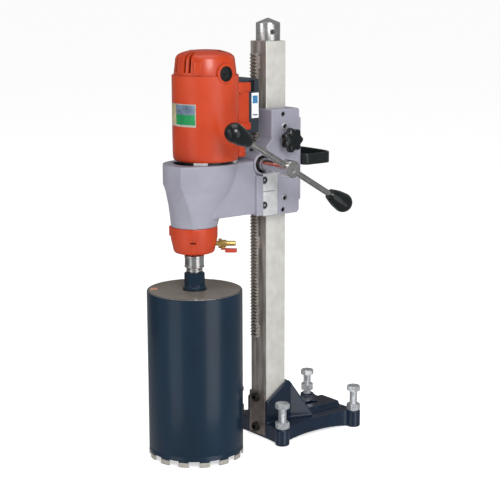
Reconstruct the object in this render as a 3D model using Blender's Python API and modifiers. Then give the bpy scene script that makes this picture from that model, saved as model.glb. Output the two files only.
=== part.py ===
"""Core drill rig: a wet coring drill on a rack-and-pinion stand with a levelling base.

Frame: origin on the floor under the column's axis, +Z up, +Y to the rear, -Y towards the drill,
+X towards the feed handle.  All sizes are in metres.
"""

import math

import bmesh
import bpy
from mathutils import Matrix, Vector

# ---------------------------------------------------------------- driving dimensions
GAP = 0.0003  # clearance between touching pieces

COLUMN_HALF = 0.030
COLUMN_WALL = 0.005
COLUMN_TOP = 0.964
COLUMN_FOOT = 0.0063

RACK_MODULE = 0.0025
RACK_PITCH = math.pi * RACK_MODULE
RACK_HALF_WIDTH = 0.010
RACK_BOTTOM = 0.2535
RACK_TEETH = 86
RACK_BACK_Y = -0.0370
SPACER_LENGTH = 0.030
PLATE = 0.005
CLAMP_BOLT_HEIGHTS = {"lower": 0.0245, "upper": 0.1005}
SPACER_HEIGHTS = (0.268, 0.487, 0.706, 0.915)

BOSS_X = 0.0897
BOSS_FRONT_Y = -0.0275
BOSS_REAR_Y = 0.2033
BOSS_RADIUS = 0.0175
BOSS_HEIGHT = 0.042
BASE_TOP = 0.040
SPINE_TOP = 0.051
SOCKET_WALL = 0.0067
CORNERS = {
    "front_left": (-BOSS_X, BOSS_FRONT_Y),
    "front_right": (BOSS_X, BOSS_FRONT_Y),
    "rear_left": (-BOSS_X, BOSS_REAR_Y),
    "rear_right": (BOSS_X, BOSS_REAR_Y),
}
LEVELLING_RADIUS = 0.010
LEVELLING_ACROSS_FLATS = 0.030

SPINDLE_Y = -0.219
MOTOR_Y = -0.183
BIT_RADIUS = 0.1115
BIT_WALL = 0.0035
BIT_TOP = 0.399
BIT_SEGMENTS = 14
SEGMENT_HEIGHT = 0.011

CARRIAGE_HALF = 0.062
CARRIAGE_BOTTOM = 0.560
CARRIAGE_TOP = 0.809
CARRIAGE_FRONT_Y = -0.0386
CARRIAGE_REAR_Y = 0.045
CARRIAGE_GAP_HALF = 0.0125
CHANNEL_HALF = 0.0327
FLANGE_Y = -0.0657
ADJUSTER_POINTS = ((-0.005, 0.7973), (-0.0005, 0.768), (-0.0005, 0.599), (-0.005, 0.5715))

FEED_Y = -0.062
FEED_Z = 0.684
PINION_TEETH = 14
FEED_PITCH_RADIUS = RACK_MODULE * PINION_TEETH / 2
RACK_PITCH_LINE_Y = FEED_Y + FEED_PITCH_RADIUS
FEED_ARM_ANGLE = math.radians(30.5)
FEED_ARM_X = 0.159
FEED_ARM_REACH = 0.185
FEED_ROD_RADIUS = 0.007
KNOB_BALL_RADIUS = 0.023

LOCK_Y = 0.003
LOCK_Z = 0.738
KNOB_HALF_LOBE = 0.0025
KNOB_MEAN_RADIUS = 0.0270

BRACKET_BOTTOM = 0.549
BRACKET_TOP = 0.694
BRACKET_RIM = 0.648
BRACKET_HALF = 0.066
ARM_BOTTOM = 0.569

VALVE_Z = 0.5075
VALVE_ANGLE = math.radians(50)

GEAR_1 = {"module": 0.00125, "pinion": 10, "gear": 36}
GEAR_2 = {"module": 0.0015, "pinion": 12, "gear": 38}
PRESSURE_ANGLE = math.radians(20)
BACKLASH = 0.00030
STAGE_1_Z = (0.6500, 0.6620)
STAGE_2_Z = (0.6060, 0.6240)

MOTOR_RADIUS = 0.0765
MOTOR_BOTTOM = 0.7000
MOTOR_SPLIT = 0.894
MOTOR_TOP = 0.950
BRUSH_Z = 0.899
BRUSH_Y = MOTOR_Y + 0.002
BRUSH_RADIUS = 0.0170
BRUSH_BOSS_RADIUS = 0.0220
VENT_ANGLES = (-20, -7, 7, 20)


def layshaft_axis():
    """Where the intermediate shaft stands so that both gear pairs run at their centre distances."""
    first = GEAR_1["module"] * (GEAR_1["pinion"] + GEAR_1["gear"]) / 2
    second = GEAR_2["module"] * (GEAR_2["pinion"] + GEAR_2["gear"]) / 2
    apart = MOTOR_Y - SPINDLE_Y
    along = (first**2 - second**2 + apart**2) / (2 * apart)
    return math.sqrt(first**2 - along**2), MOTOR_Y - along


LAYSHAFT_X, LAYSHAFT_Y = layshaft_axis()

# ---------------------------------------------------------------- scene and materials
for old in list(bpy.data.objects):
    bpy.data.objects.remove(old)

PARTS = bpy.data.collections.new("core_drill_rig")
CUTTERS = bpy.data.collections.new("cutters")
bpy.context.scene.collection.children.link(PARTS)
bpy.context.scene.collection.children.link(CUTTERS)

MATERIALS = {}


def material(name, colour, roughness, metallic):
    made = bpy.data.materials.new(name)
    made.use_nodes = True
    shader = made.node_tree.nodes["Principled BSDF"]
    shader.inputs["Base Color"].default_value = (*colour, 1.0)
    shader.inputs["Roughness"].default_value = roughness
    shader.inputs["Metallic"].default_value = metallic
    made.diffuse_color = (*colour, 1.0)
    MATERIALS[name] = made


material("navy_paint", (0.012, 0.022, 0.040), 0.30, 0.0)
material("bit_paint", (0.008, 0.030, 0.058), 0.22, 0.0)
material("column_steel", (0.62, 0.60, 0.56), 0.35, 1.0)
material("rack_steel", (0.34, 0.31, 0.29), 0.45, 1.0)
material("zinc_steel", (0.72, 0.73, 0.74), 0.28, 1.0)
material("bright_steel", (0.66, 0.66, 0.66), 0.20, 1.0)
material("black_steel", (0.015, 0.015, 0.016), 0.40, 0.8)
material("grey_casting", (0.36, 0.36, 0.41), 0.45, 0.3)
material("red_paint", (0.74, 0.075, 0.022), 0.35, 0.0)
material("black_plastic", (0.012, 0.014, 0.016), 0.35, 0.0)
material("switch_plastic", (0.022, 0.030, 0.045), 0.45, 0.0)
material("brass", (0.72, 0.50, 0.20), 0.28, 1.0)
material("bronze", (0.45, 0.27, 0.12), 0.40, 1.0)
material("copper_core", (0.45, 0.24, 0.13), 0.45, 0.8)
material("segment_metal", (0.42, 0.41, 0.38), 0.50, 0.9)


# ---------------------------------------------------------------- shape helpers
def add_object(name, data, paint=None, collection=PARTS):
    """A new object; with no paint it is a tool for Boolean work and stays out of the model."""
    made = bpy.data.objects.new(name, data)
    if paint is None:
        collection = CUTTERS
        made.hide_render = True
        made.display_type = "WIRE"
    else:
        data.materials.append(MATERIALS[paint])
    collection.objects.link(made)
    return made


def mesh_from(name, bm, smooth=False):
    bmesh.ops.recalc_face_normals(bm, faces=bm.faces)
    data = bpy.data.meshes.new(name)
    bm.to_mesh(data)
    bm.free()
    if smooth:
        data.shade_smooth()
        data.set_sharp_from_angle(angle=math.radians(35))
    return data


def box(name, low, high, paint=None, bevel=0.0):
    """A box between two corners; its origin is its centre."""
    size = [b - a for a, b in zip(low, high)]
    centre = [(a + b) / 2 for a, b in zip(low, high)]
    bm = bmesh.new()
    bmesh.ops.create_cube(bm, size=1.0)
    bmesh.ops.scale(bm, vec=size, verts=bm.verts)
    if bevel:
        upright = [e for e in bm.edges if abs(e.verts[0].co.z - e.verts[1].co.z) > 1e-6]
        bmesh.ops.bevel(bm, geom=upright, offset=bevel, segments=2, profile=0.5, affect="EDGES")
    made = add_object(name, mesh_from(name, bm), paint)
    made.location = centre
    return made


def turn_to(direction):
    """The rotation that carries +Z onto a direction."""
    return Vector((0, 0, 1)).rotation_difference(Vector(direction)).to_euler()


def cylinder(name, centre, direction, radius, length, paint=None, sides=24, radius_end=None, twist=0.0):
    """A cylinder, cone or regular prism centred on a point, its axis along a direction."""
    bm = bmesh.new()
    end = radius if radius_end is None else radius_end
    bmesh.ops.create_cone(
        bm, cap_ends=True, segments=sides, radius1=radius, radius2=end, depth=length,
        matrix=Matrix.Rotation(twist, 4, "Z"),
    )
    made = add_object(name, mesh_from(name, bm, smooth=sides > 8), paint)
    made.rotation_euler = turn_to(direction)
    made.location = centre
    return made


def turned(name, profile, origin, paint=None, direction=(0, 0, 1), steps=24, closed=False):
    """A lathe-turned piece: the profile is (radius, height) pairs down its outer side."""
    data = bpy.data.meshes.new(name)
    count = len(profile)
    edges = [(i, i + 1) for i in range(count - 1)]
    if closed:
        edges.append((count - 1, 0))
    data.from_pydata([(r, 0, z) for r, z in profile], edges, [])
    made = add_object(name, data, paint)
    screw = made.modifiers.new("turn", "SCREW")
    screw.steps = steps
    screw.render_steps = steps
    screw.use_merge_vertices = True
    screw.merge_threshold = 0.00001
    screw.use_smooth_shade = True
    made.rotation_euler = turn_to(direction)
    made.location = origin
    return made


def baked(made):
    """The same object as a plain welded mesh, so that Booleans and curves work on it."""
    depsgraph = bpy.context.evaluated_depsgraph_get()
    depsgraph.update()
    data = bpy.data.meshes.new_from_object(made.evaluated_get(depsgraph))
    bm = bmesh.new()
    bm.from_mesh(data)
    bmesh.ops.remove_doubles(bm, verts=bm.verts, dist=0.000002)
    bmesh.ops.recalc_face_normals(bm, faces=bm.faces)
    bm.to_mesh(data)
    bm.free()
    return data


PLANES = {
    "Z": Matrix.Identity(3),
    "X": Matrix(((0, 0, 1), (1, 0, 0), (0, 1, 0))),
    "Y": Matrix(((1, 0, 0), (0, 0, -1), (0, 1, 0))),
}


def extruded(name, outlines, low, high, paint=None, axis="Z", origin=(0, 0, 0), turn=0.0):
    """Flat outlines (the first outer, the rest holes) given a thickness along an axis.

    An outline's pairs are (x, y) for axis Z, (y, z) for axis X and (x, z) for axis Y.
    """
    curve = bpy.data.curves.new(name, "CURVE")
    curve.dimensions = "2D"
    curve.fill_mode = "BOTH"
    curve.extrude = (high - low) / 2
    for outline in outlines:
        spline = curve.splines.new("POLY")
        spline.points.add(len(outline) - 1)
        for point, (u, v) in zip(spline.points, outline):
            point.co = (u, v, 0, 1)
        spline.use_cyclic_u = True
    drawn = add_object(name + "_outline", curve)
    data = baked(drawn)
    bpy.data.objects.remove(drawn)
    data.transform(Matrix.Translation((0, 0, (low + high) / 2 if axis != "Y" else -(low + high) / 2)))
    data.materials.clear()
    made = add_object(name, data, paint)
    made.rotation_euler = (PLANES[axis] @ Matrix.Rotation(turn, 3, "Z")).to_euler()
    made.location = origin
    return made


def boolean(target, tools, operation):
    for tool in tools:
        step = target.modifiers.new(operation.lower() + "_" + tool.name, "BOOLEAN")
        step.operation = operation
        step.object = tool
        step.solver = "EXACT"
    return target


def cut(target, *tools):
    return boolean(target, tools, "DIFFERENCE")


def join(target, *tools):
    return boolean(target, tools, "UNION")


def arc(centre, radius, start, end, count):
    """Points on an arc, from a start angle to an end angle in degrees."""
    points = []
    for i in range(count + 1):
        angle = math.radians(start + (end - start) * i / count)
        points.append((centre[0] + radius * math.cos(angle), centre[1] + radius * math.sin(angle)))
    return points


def circle(radius, count):
    return arc((0, 0), radius, 0, 360 * (count - 1) / count, count - 1)


def gear_outline(module, teeth, points_per_flank=3):
    """An involute spur gear's outline, thinned by the backlash."""
    pitch = module * teeth / 2
    base = pitch * math.cos(PRESSURE_ANGLE)
    tip = pitch + 0.95 * module
    root = pitch - 1.25 * module
    half_angle = (math.pi * module / 2 - BACKLASH) / (2 * pitch)

    def involute(radius):
        pressure = math.acos(min(1.0, base / radius))
        return math.tan(pressure) - pressure

    at_pitch = involute(pitch)
    start = max(root, base)
    flank = [start + (tip - start) * i / (points_per_flank - 1) for i in range(points_per_flank)]
    if start - root < 0.15 * module:
        flank[0] = root
    points = []
    for tooth in range(teeth):
        middle = 2 * math.pi * tooth / teeth
        side = [(r, half_angle + at_pitch - involute(r)) for r in flank]
        root_angle = side[0][1]
        rising = [(root, -root_angle)] + [(r, -a) for r, a in side]
        falling = [(r, a) for r, a in reversed(side)] + [(root, root_angle)]
        for r, a in rising + falling:
            point = (r * math.cos(middle + a), r * math.sin(middle + a))
            if not points or math.dist(points[-1], point) > 0.00002:
                points.append(point)
    return points


def hexagon_radius(across_flats):
    return across_flats / math.sqrt(3)


# ---------------------------------------------------------------- base
def base_outline():
    """The slab's plan: concave sides that run from boss to boss."""
    side_depth = 0.020
    points = []
    middle_y = (BOSS_FRONT_Y + BOSS_REAR_Y) / 2
    run = (BOSS_REAR_Y - BOSS_FRONT_Y) / 2
    reach = BOSS_X + 0.008
    for i in range(13):
        t = -1 + i / 6
        points.append((reach - side_depth * (1 - t**4) ** 0.5, middle_y + t * run))
    for i in range(1, 8):
        t = 1 - i / 4
        points.append((t * BOSS_X, BOSS_REAR_Y + 0.014 - 0.006 * (1 - t**2)))
    for i in range(13):
        t = 1 - i / 6
        points.append((-reach + side_depth * (1 - t**4) ** 0.5, middle_y + t * run))
    for i in range(1, 8):
        t = -1 + i / 4
        points.append((t * BOSS_X, BOSS_FRONT_Y - 0.009 + 0.004 * (1 - t**2)))
    return points


def side_arch(name, low_x, high_x):
    """Cutter for the arched lower edge of a side wall between its two bosses."""
    centre_y = (BOSS_FRONT_Y + BOSS_REAR_Y) / 2
    half = (BOSS_REAR_Y - BOSS_FRONT_Y) / 2 - BOSS_RADIUS
    rise = 0.007
    radius = (half**2 + rise**2) / (2 * rise)
    angle = math.degrees(math.asin(half / radius))
    crown = arc((centre_y, rise - radius), radius, 90 - angle, 90 + angle, 8)
    outline = [(centre_y + half, -0.01), *crown, (centre_y - half, -0.01)]
    return extruded(name, [outline], low_x, high_x, axis="X")


def build_base():
    slab = extruded("base_casting", [base_outline()], 0.0, BASE_TOP, "navy_paint")
    shapes = []
    for name, (x, y) in CORNERS.items():
        shapes.append(
            cylinder("boss_" + name, (x, y, BOSS_HEIGHT / 2), (0, 0, 1), BOSS_RADIUS, BOSS_HEIGHT, sides=28)
        )
    spine = extruded(
        "spine", [[(-0.044, 0.030), (0.044, 0.030), (0.032, SPINE_TOP), (-0.032, SPINE_TOP)]],
        0.040, BOSS_REAR_Y + 0.002, axis="Y",
    )
    outer = COLUMN_HALF + GAP + SOCKET_WALL
    front = -COLUMN_HALF - 0.004
    wall_profile = [
        (front, 0.010), (front, 0.094), (0.020, 0.131), (0.030, 0.136),
        (0.040, 0.136), (0.047, 0.128), (0.047, 0.010),
    ]
    socket = extruded("socket", [wall_profile], -outer, outer, axis="X")
    shapes += [spine, socket]
    for side in (-1, 1):
        rib_direction = Vector((side * BOSS_X, BOSS_REAR_Y)) - Vector((side * 0.033, 0.044))
        rib = extruded(
            f"rib_{side}", [[(-0.003, 0.020), (-0.003, 0.128), (0.004, 0.126), (0.064, 0.036), (0.064, 0.020)]],
            -0.0045, 0.0045, axis="Y",
        )
        rib.location = (side * 0.033, 0.044, 0)
        rib.rotation_euler.z = math.atan2(rib_direction.y, rib_direction.x)
        shapes.append(rib)
    join(slab, *shapes)
    bore = COLUMN_HALF + GAP
    pocket = box("underside_pocket", (-0.060, 0.056, -0.01), (0.060, 0.196, 0.026))
    column_hole = box("column_hole", (-bore, -0.060, COLUMN_FOOT - GAP), (bore, bore, 0.2))
    slot = box("slot_middle", (-0.009, 0.120, 0.0), (0.009, 0.160, 0.1), bevel=0.0085)
    holes = [
        cylinder("hole_" + name, (x, y, 0.02), (0, 0, 1), LEVELLING_RADIUS + GAP, 0.1, sides=20)
        for name, (x, y) in CORNERS.items()
    ]
    arches = [side_arch("arch_right", 0.060, 0.2), side_arch("arch_left", -0.2, -0.060)]
    cut(slab, pocket, column_hole, slot, *holes, *arches)


def build_levelling():
    head_radius = hexagon_radius(LEVELLING_ACROSS_FLATS)
    for name, (x, y) in CORNERS.items():
        # The rear left nut has been run up its bolt, clear of the boss.
        lift = 0.009 if name == "rear_left" else 0.0
        nut = cylinder(
            "levelling_nut_" + name, (x, y, BOSS_HEIGHT + GAP + 0.008 + lift), (0, 0, 1),
            head_radius, 0.016, "zinc_steel", sides=6, twist=0.3,
        )
        cut(nut, cylinder("nut_bore_" + name, (x, y, 0.06), (0, 0, 1), LEVELLING_RADIUS + GAP, 0.1, sides=20))
        screw = cylinder(
            "levelling_screw_" + name, (x, y, 0.0985), (0, 0, 1), head_radius, 0.013,
            "zinc_steel", sides=6, twist=0.15,
        )
        join(
            screw,
            cylinder("shank_" + name, (x, y, 0.0535), (0, 0, 1), LEVELLING_RADIUS, 0.081, sides=20),
        )


# ---------------------------------------------------------------- column
def build_column():
    half = COLUMN_HALF
    column = box("column", (-half, -half, COLUMN_FOOT), (half, half, COLUMN_TOP), "column_steel", bevel=0.003)
    inner = half - COLUMN_WALL
    hollow = box("column_hollow", (-inner, -inner, -0.1), (inner, inner, COLUMN_TOP + 0.1))
    tapped = [
        cylinder(f"tapped_{i}", (0, -half, z), (0, 1, 0), 0.006 + GAP, 0.03, sides=12)
        for i, z in enumerate(CLAMP_BOLT_HEIGHTS.values())
    ]
    cut(column, hollow, *tapped)

    plate_back = -half - GAP
    plate_half = COLUMN_HALF - GAP
    plate = box(
        "column_clamp_plate", (-plate_half, plate_back - PLATE, COLUMN_FOOT), (plate_half, plate_back, 0.112),
        "rack_steel",
    )
    for i, (label, z) in enumerate(CLAMP_BOLT_HEIGHTS.items()):
        cut(plate, cylinder(f"plate_hole_{i}", (0, -half, z), (0, 1, 0), 0.006 + GAP, 0.03, sides=12))
        face = plate_back - PLATE - GAP
        bolt = cylinder(
            "clamp_bolt_" + label, (0, face - 0.0045, z), (0, 1, 0), 0.0115, 0.009, "black_steel", sides=20
        )
        shank = cylinder("clamp_shank_" + label, (0, face + 0.008, z), (0, 1, 0), 0.006, 0.019, sides=12)
        socket = cylinder("clamp_socket_" + label, (0, face - 0.0075, z), (0, 1, 0), 0.0058, 0.009, sides=6)
        join(bolt, shank)
        cut(bolt, socket)

    nut_low = COLUMN_TOP - 0.030
    nut_side = inner - GAP
    nut = box("column_head_nut", (-nut_side, -nut_side, nut_low), (nut_side, nut_side, COLUMN_TOP), "black_steel")
    cut(nut, cylinder("head_nut_bore", (0, 0, nut_low), (0, 0, 1), 0.015 + GAP, 0.2, sides=24))

    seat = COLUMN_TOP + GAP
    jack = turned(
        "jack_screw",
        [(0, 1.0170), (0.003, 1.0160), (0.0265, 1.0060), (0.0285, 1.0040), (0.0285, seat),
         (0.0150, seat), (0.0150, 0.8400), (0.0130, 0.8380), (0, 0.8380)],
        (0, 0, 0), "bright_steel", steps=24,
    )
    cut(jack, cylinder("jack_cross_hole", (0, 0, 0.985), (0.954, -0.299, 0), 0.006, 0.08, sides=14))


# ---------------------------------------------------------------- rack
def rack_outline():
    """The rack's side profile, (y, z): teeth to the front, flat back to the column."""
    tip = RACK_PITCH_LINE_Y - RACK_MODULE
    root = RACK_PITCH_LINE_Y + 1.2 * RACK_MODULE
    slope = math.tan(PRESSURE_ANGLE)
    half = (RACK_PITCH / 2 - BACKLASH) / 2
    tip_half = half - RACK_MODULE * slope
    root_half = half + 1.2 * RACK_MODULE * slope
    points = [(RACK_BACK_Y, RACK_BOTTOM), (root, RACK_BOTTOM)]
    for tooth in range(RACK_TEETH):
        z = RACK_BOTTOM + RACK_PITCH * (tooth + 0.5)
        points += [(root, z - root_half), (tip, z - tip_half), (tip, z + tip_half), (root, z + root_half)]
    top = RACK_BOTTOM + RACK_PITCH * RACK_TEETH
    points += [(root, top), (RACK_BACK_Y, top)]
    return points


def build_rack():
    width = RACK_HALF_WIDTH
    rack = extruded("rack", [rack_outline()], -width, width, "rack_steel", axis="X")
    half = SPACER_LENGTH / 2
    for i, z in enumerate(SPACER_HEIGHTS, start=1):
        spacer = box(f"rack_spacer_{i}", (-0.009, RACK_BACK_Y - 0.002, z - half), (0.009, -COLUMN_HALF - GAP, z + half))
        join(rack, spacer)


# ---------------------------------------------------------------- carriage
def build_carriage():
    half = CARRIAGE_HALF
    rear = CARRIAGE_REAR_Y
    profile = [
        (FLANGE_Y, 0.563), (FLANGE_Y, 0.661), (-0.054, 0.669), (-0.054, 0.724), (CARRIAGE_FRONT_Y, 0.740),
        (CARRIAGE_FRONT_Y, CARRIAGE_TOP - 0.002), (CARRIAGE_FRONT_Y + 0.002, CARRIAGE_TOP),
        (rear - 0.004, CARRIAGE_TOP), (rear, CARRIAGE_TOP - 0.004), (rear, CARRIAGE_BOTTOM + 0.006),
        (rear - 0.006, CARRIAGE_BOTTOM), (-0.056, CARRIAGE_BOTTOM),
    ]
    casting = extruded("carriage_casting", [profile], -half, half, "grey_casting", axis="X")
    boss_length = 0.116
    boss = cylinder("feed_boss", (0, FEED_Y, FEED_Z), (1, 0, 0), 0.026, boss_length, sides=32)
    back_pad = box("back_pad", (-half, rear - 0.010, 0.590), (half, rear + 0.006, 0.787))
    join(casting, boss, back_pad)
    bore = CHANNEL_HALF
    channel = box("channel", (-bore, -COLUMN_HALF - 0.0015, 0.5), (bore, COLUMN_HALF + 0.0015, 0.9))
    gap = CARRIAGE_GAP_HALF
    front_gap = box("front_gap", (-gap, -0.120, 0.5), (gap, -0.020, 0.9))
    feed_bore = cylinder("feed_bore", (0, FEED_Y, FEED_Z), (1, 0, 0), 0.0205, 0.2, sides=28)
    tools = [channel, front_gap, feed_bore]
    for i, (y, z) in enumerate(ADJUSTER_POINTS):
        tools.append(cylinder(f"adjuster_hole_{i}", (0.05, y, z), (1, 0, 0), 0.0053, 0.06, sides=12))
    tools.append(cylinder("lock_hole", (0.05, LOCK_Y, LOCK_Z), (1, 0, 0), 0.0063, 0.06, sides=16))
    for side in (-1, 1):
        for i, z in enumerate((0.5856, 0.6446)):
            tools.append(
                cylinder(f"flange_hole_{side}_{i}", (side * 0.048, -0.050, z), (0, 1, 0), 0.0053, 0.05, sides=12)
            )
    cut(casting, *tools)

    for side, label in ((-1, "left"), (1, "right")):
        inner = COLUMN_HALF + GAP
        outer = CHANNEL_HALF - GAP
        low_x, high_x = sorted((side * inner, side * outer))
        pad = box("guide_pad_" + label, (low_x, -0.027, 0.565), (high_x, 0.027, 0.804), "bronze")
        if side == 1:
            cut(pad, cylinder("pad_hole", (0.03, LOCK_Y, LOCK_Z), (1, 0, 0), 0.0063, 0.03, sides=16))
    for i, (y, z) in enumerate(ADJUSTER_POINTS, start=1):
        start = CHANNEL_HALF + GAP
        end = CARRIAGE_HALF - 0.001
        screw = cylinder(
            f"adjuster_screw_{i}", ((start + end) / 2, y, z), (1, 0, 0), 0.005, end - start, "black_steel", sides=12
        )
        cut(screw, cylinder(f"adjuster_socket_{i}", (end, y, z), (1, 0, 0), 0.0029, 0.010, sides=6))

    build_handle(rear + 0.006 + GAP)

    for side, label in ((-1, "left"), (1, "right")):
        inner = side * (CARRIAGE_GAP_HALF + GAP)
        outer = side * 0.056
        low, high = sorted((inner, outer))
        profile = [(0.0202, high), (0.0202, low), (0.0104, low), (0.0104, high)]
        turned("feed_bush_" + label, profile, (0, FEED_Y, FEED_Z), "bronze", (1, 0, 0), steps=24, closed=True)


def build_handle(front_y):
    """The carrying loop: a flat steel band with square front corners and a bowed back."""
    thickness = 0.006
    foot_x = 0.036
    half_x = 0.077
    side_end_y = 0.118
    bow = 0.027

    def path(inset):
        """Half of the band's outer or inner line, from the foot round to the middle of the back."""
        x = half_x - inset
        y = front_y + inset
        points = [(foot_x, y), (x, y), (x, side_end_y)]
        for i in range(1, 7):
            angle = math.radians(90 * i / 6)
            points.append((x * math.cos(angle) ** 0.55, side_end_y + (bow - inset) * math.sin(angle)))
        return points[:-1]

    outline = []
    for inset in (0.0, thickness):
        half = path(inset)
        whole = half + [(-x, y) for x, y in reversed(half)]
        outline += whole if inset == 0.0 else whole[::-1]
    extruded("rear_handle", [outline], 0.6725, 0.7005, "black_plastic")


# ---------------------------------------------------------------- feed shaft and handle
def build_feed():
    shaft = cylinder(
        "feed_shaft", (-0.0035, FEED_Y, FEED_Z), (1, 0, 0), 0.010, 0.121, "bright_steel", sides=20
    )
    outer_part = cylinder("feed_shaft_outer", (0.098, FEED_Y, FEED_Z), (1, 0, 0), 0.015, 0.083, sides=24)
    collar = cylinder("feed_end_collar", (-0.0635, FEED_Y, FEED_Z), (1, 0, 0), 0.018, 0.008, sides=20)

    join(shaft, outer_part, collar)

    pinion = extruded(
        "feed_pinion", [gear_outline(RACK_MODULE, PINION_TEETH), circle(0.0103, 20)],
        -0.0095, 0.0095, "rack_steel", axis="X",
    )
    pinion.location = (0, FEED_Y, FEED_Z)
    # The nearest rack tooth stands this far below the shaft, and a tooth space faces it.
    teeth_below = (FEED_Z - RACK_BOTTOM) / RACK_PITCH - 0.5
    below = (teeth_below - math.floor(teeth_below)) * RACK_PITCH
    turn = math.pi / PINION_TEETH - below / FEED_PITCH_RADIUS
    pinion.data.transform(Matrix.Rotation(turn, 4, "Z"))

    low_x = FEED_ARM_X - 0.0194
    high_x = FEED_ARM_X + 0.011
    hub = cylinder(
        "feed_hub", ((low_x + high_x) / 2, FEED_Y, FEED_Z), (1, 0, 0), 0.020, high_x - low_x, "bright_steel", sides=28
    )
    along = Vector((0, -math.cos(FEED_ARM_ANGLE), math.sin(FEED_ARM_ANGLE)))
    centre = Vector((FEED_ARM_X, FEED_Y, FEED_Z))
    for side, label in ((1, "front"), (-1, "rear")):
        direction = along * side
        inner = 0.009
        knob_start = FEED_ARM_REACH - 0.049
        rod_end = knob_start + 0.018
        middle = centre + direction * (inner + rod_end) / 2
        cylinder("feed_rod_" + label, middle, direction, FEED_ROD_RADIUS, rod_end - inner, "bright_steel", sides=20)
        hole = centre + direction * 0.0235
        cut(hub, cylinder("rod_hole_" + label, hole, direction, FEED_ROD_RADIUS + GAP, 0.030, sides=20))
        profile = knob_profile(knob_start, FEED_ARM_REACH)
        knob = turned("feed_knob_" + label, profile, centre, "black_plastic", direction, steps=18)
        bore = centre + direction * (knob_start + 0.005)
        cut(knob, cylinder("knob_bore_" + label, bore, direction, FEED_ROD_RADIUS + GAP, 0.028, sides=20))


def knob_profile(start, ball_centre):
    """Down the outer side: the ball end, then the taper to the neck where the rod goes in."""
    radius = KNOB_BALL_RADIUS
    points = []
    for i in range(7):
        angle = math.radians(90 - 115 * i / 6)
        points.append((radius * math.cos(angle), ball_centre + radius * math.sin(angle)))
    points[0] = (0, ball_centre + radius)
    points += [(0.0155, start + 0.012), (0.0130, start), (0, start)]
    return points


# ---------------------------------------------------------------- carriage lock
def build_lock():
    """The lobed knob and its stud; a plunger in front of the stud presses on the column."""
    lobes = 7
    outline = []
    for i in range(56):
        angle = 2 * math.pi * i / 56
        radius = KNOB_MEAN_RADIUS + KNOB_HALF_LOBE * math.cos(lobes * angle)
        outline.append((radius * math.cos(angle), radius * math.sin(angle)))
    knob = extruded("lock_knob", [outline], 0.080, 0.097, "black_plastic", axis="X")
    knob.location = (0, LOCK_Y, LOCK_Z)
    stud = cylinder("knob_stud", (0.0600, LOCK_Y, LOCK_Z), (1, 0, 0), 0.006, 0.042, sides=16)
    hub = cylinder("knob_hub", (0.0745, LOCK_Y, LOCK_Z), (1, 0, 0), 0.011, 0.009, sides=16)
    join(knob, hub, stud)
    cylinder("lock_plunger", (0.0348, LOCK_Y, LOCK_Z), (1, 0, 0), 0.006, 0.0075, "brass", sides=16)


# ---------------------------------------------------------------- drill bracket
def hull_section(front_radius, rear_radius, rear_y, count=12):
    """A rounded plan about two centres: the spindle's axis in front and a wider one behind."""
    points = [(front_radius * math.cos(a), SPINDLE_Y + front_radius * math.sin(a))
              for a in [math.pi + math.pi * i / count for i in range(count + 1)]]
    points += [(rear_radius * math.cos(a), rear_y + rear_radius * math.sin(a))
               for a in [math.pi * i / count for i in range(count + 1)]]
    return points


def loft(name, levels, paint=None):
    """A solid between level sections with the same number of points."""
    bm = bmesh.new()
    rings = [[bm.verts.new((x, y, z)) for x, y in section] for z, section in levels]
    for lower, upper in zip(rings, rings[1:]):
        for i in range(len(lower)):
            j = (i + 1) % len(lower)
            bm.faces.new((lower[i], lower[j], upper[j], upper[i]))
    bm.faces.new(list(reversed(rings[0])))
    bm.faces.new(rings[-1])
    return add_object(name, mesh_from(name, bm, smooth=True), paint)


def build_bracket():
    levels = [
        (BRACKET_BOTTOM, hull_section(0.053, 0.053, -0.218)),
        (0.600, hull_section(0.0585, 0.060, -0.205)),
        (0.632, hull_section(0.0645, 0.069, -0.196)),
        (BRACKET_RIM, hull_section(0.070, 0.072, -0.192)),
        (BRACKET_TOP, hull_section(0.070, 0.0765, -0.183)),
    ]
    bracket = loft("drill_bracket", levels, "grey_casting")
    arm = box("bracket_arm", (-0.058, -0.205, ARM_BOTTOM), (0.058, -0.080, BRACKET_TOP))
    flange = box("bracket_flange", (-BRACKET_HALF, -0.086, 0.5645), (BRACKET_HALF, -0.066, 0.6600))
    join(bracket, arm, flange)
    cavity_upper = cylinder("cavity_upper", (0, SPINDLE_Y + 0.012, 0.672), (0, 0, 1), 0.0560, 0.060, sides=32)
    cavity_side = cylinder("cavity_side", (LAYSHAFT_X, LAYSHAFT_Y, 0.672), (0, 0, 1), 0.030, 0.060, sides=24)
    cavity_lower = cylinder("cavity_lower", (0, SPINDLE_Y, 0.620), (0, 0, 1), 0.0345, 0.070, sides=28)
    cavity_pinion = cylinder("cavity_pinion", (LAYSHAFT_X, LAYSHAFT_Y, 0.625), (0, 0, 1), 0.0140, 0.064, sides=20)
    bottom_bore = cylinder("bottom_bore", (0, SPINDLE_Y, 0.560), (0, 0, 1), 0.0240, 0.090, sides=28)
    feed_clearance = cylinder("feed_clearance", (0, FEED_Y, FEED_Z), (1, 0, 0), 0.0285, 0.3, sides=32)
    tools = [cavity_upper, cavity_side, cavity_lower, cavity_pinion, bottom_bore, feed_clearance]
    for side in (-1, 1):
        for i, z in enumerate((0.5856, 0.6446)):
            tools.append(
                cylinder(f"bracket_hole_{side}_{i}", (side * 0.048, -0.076, z), (0, 1, 0), 0.0053, 0.06, sides=12)
            )
    cut(bracket, *tools)


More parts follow.
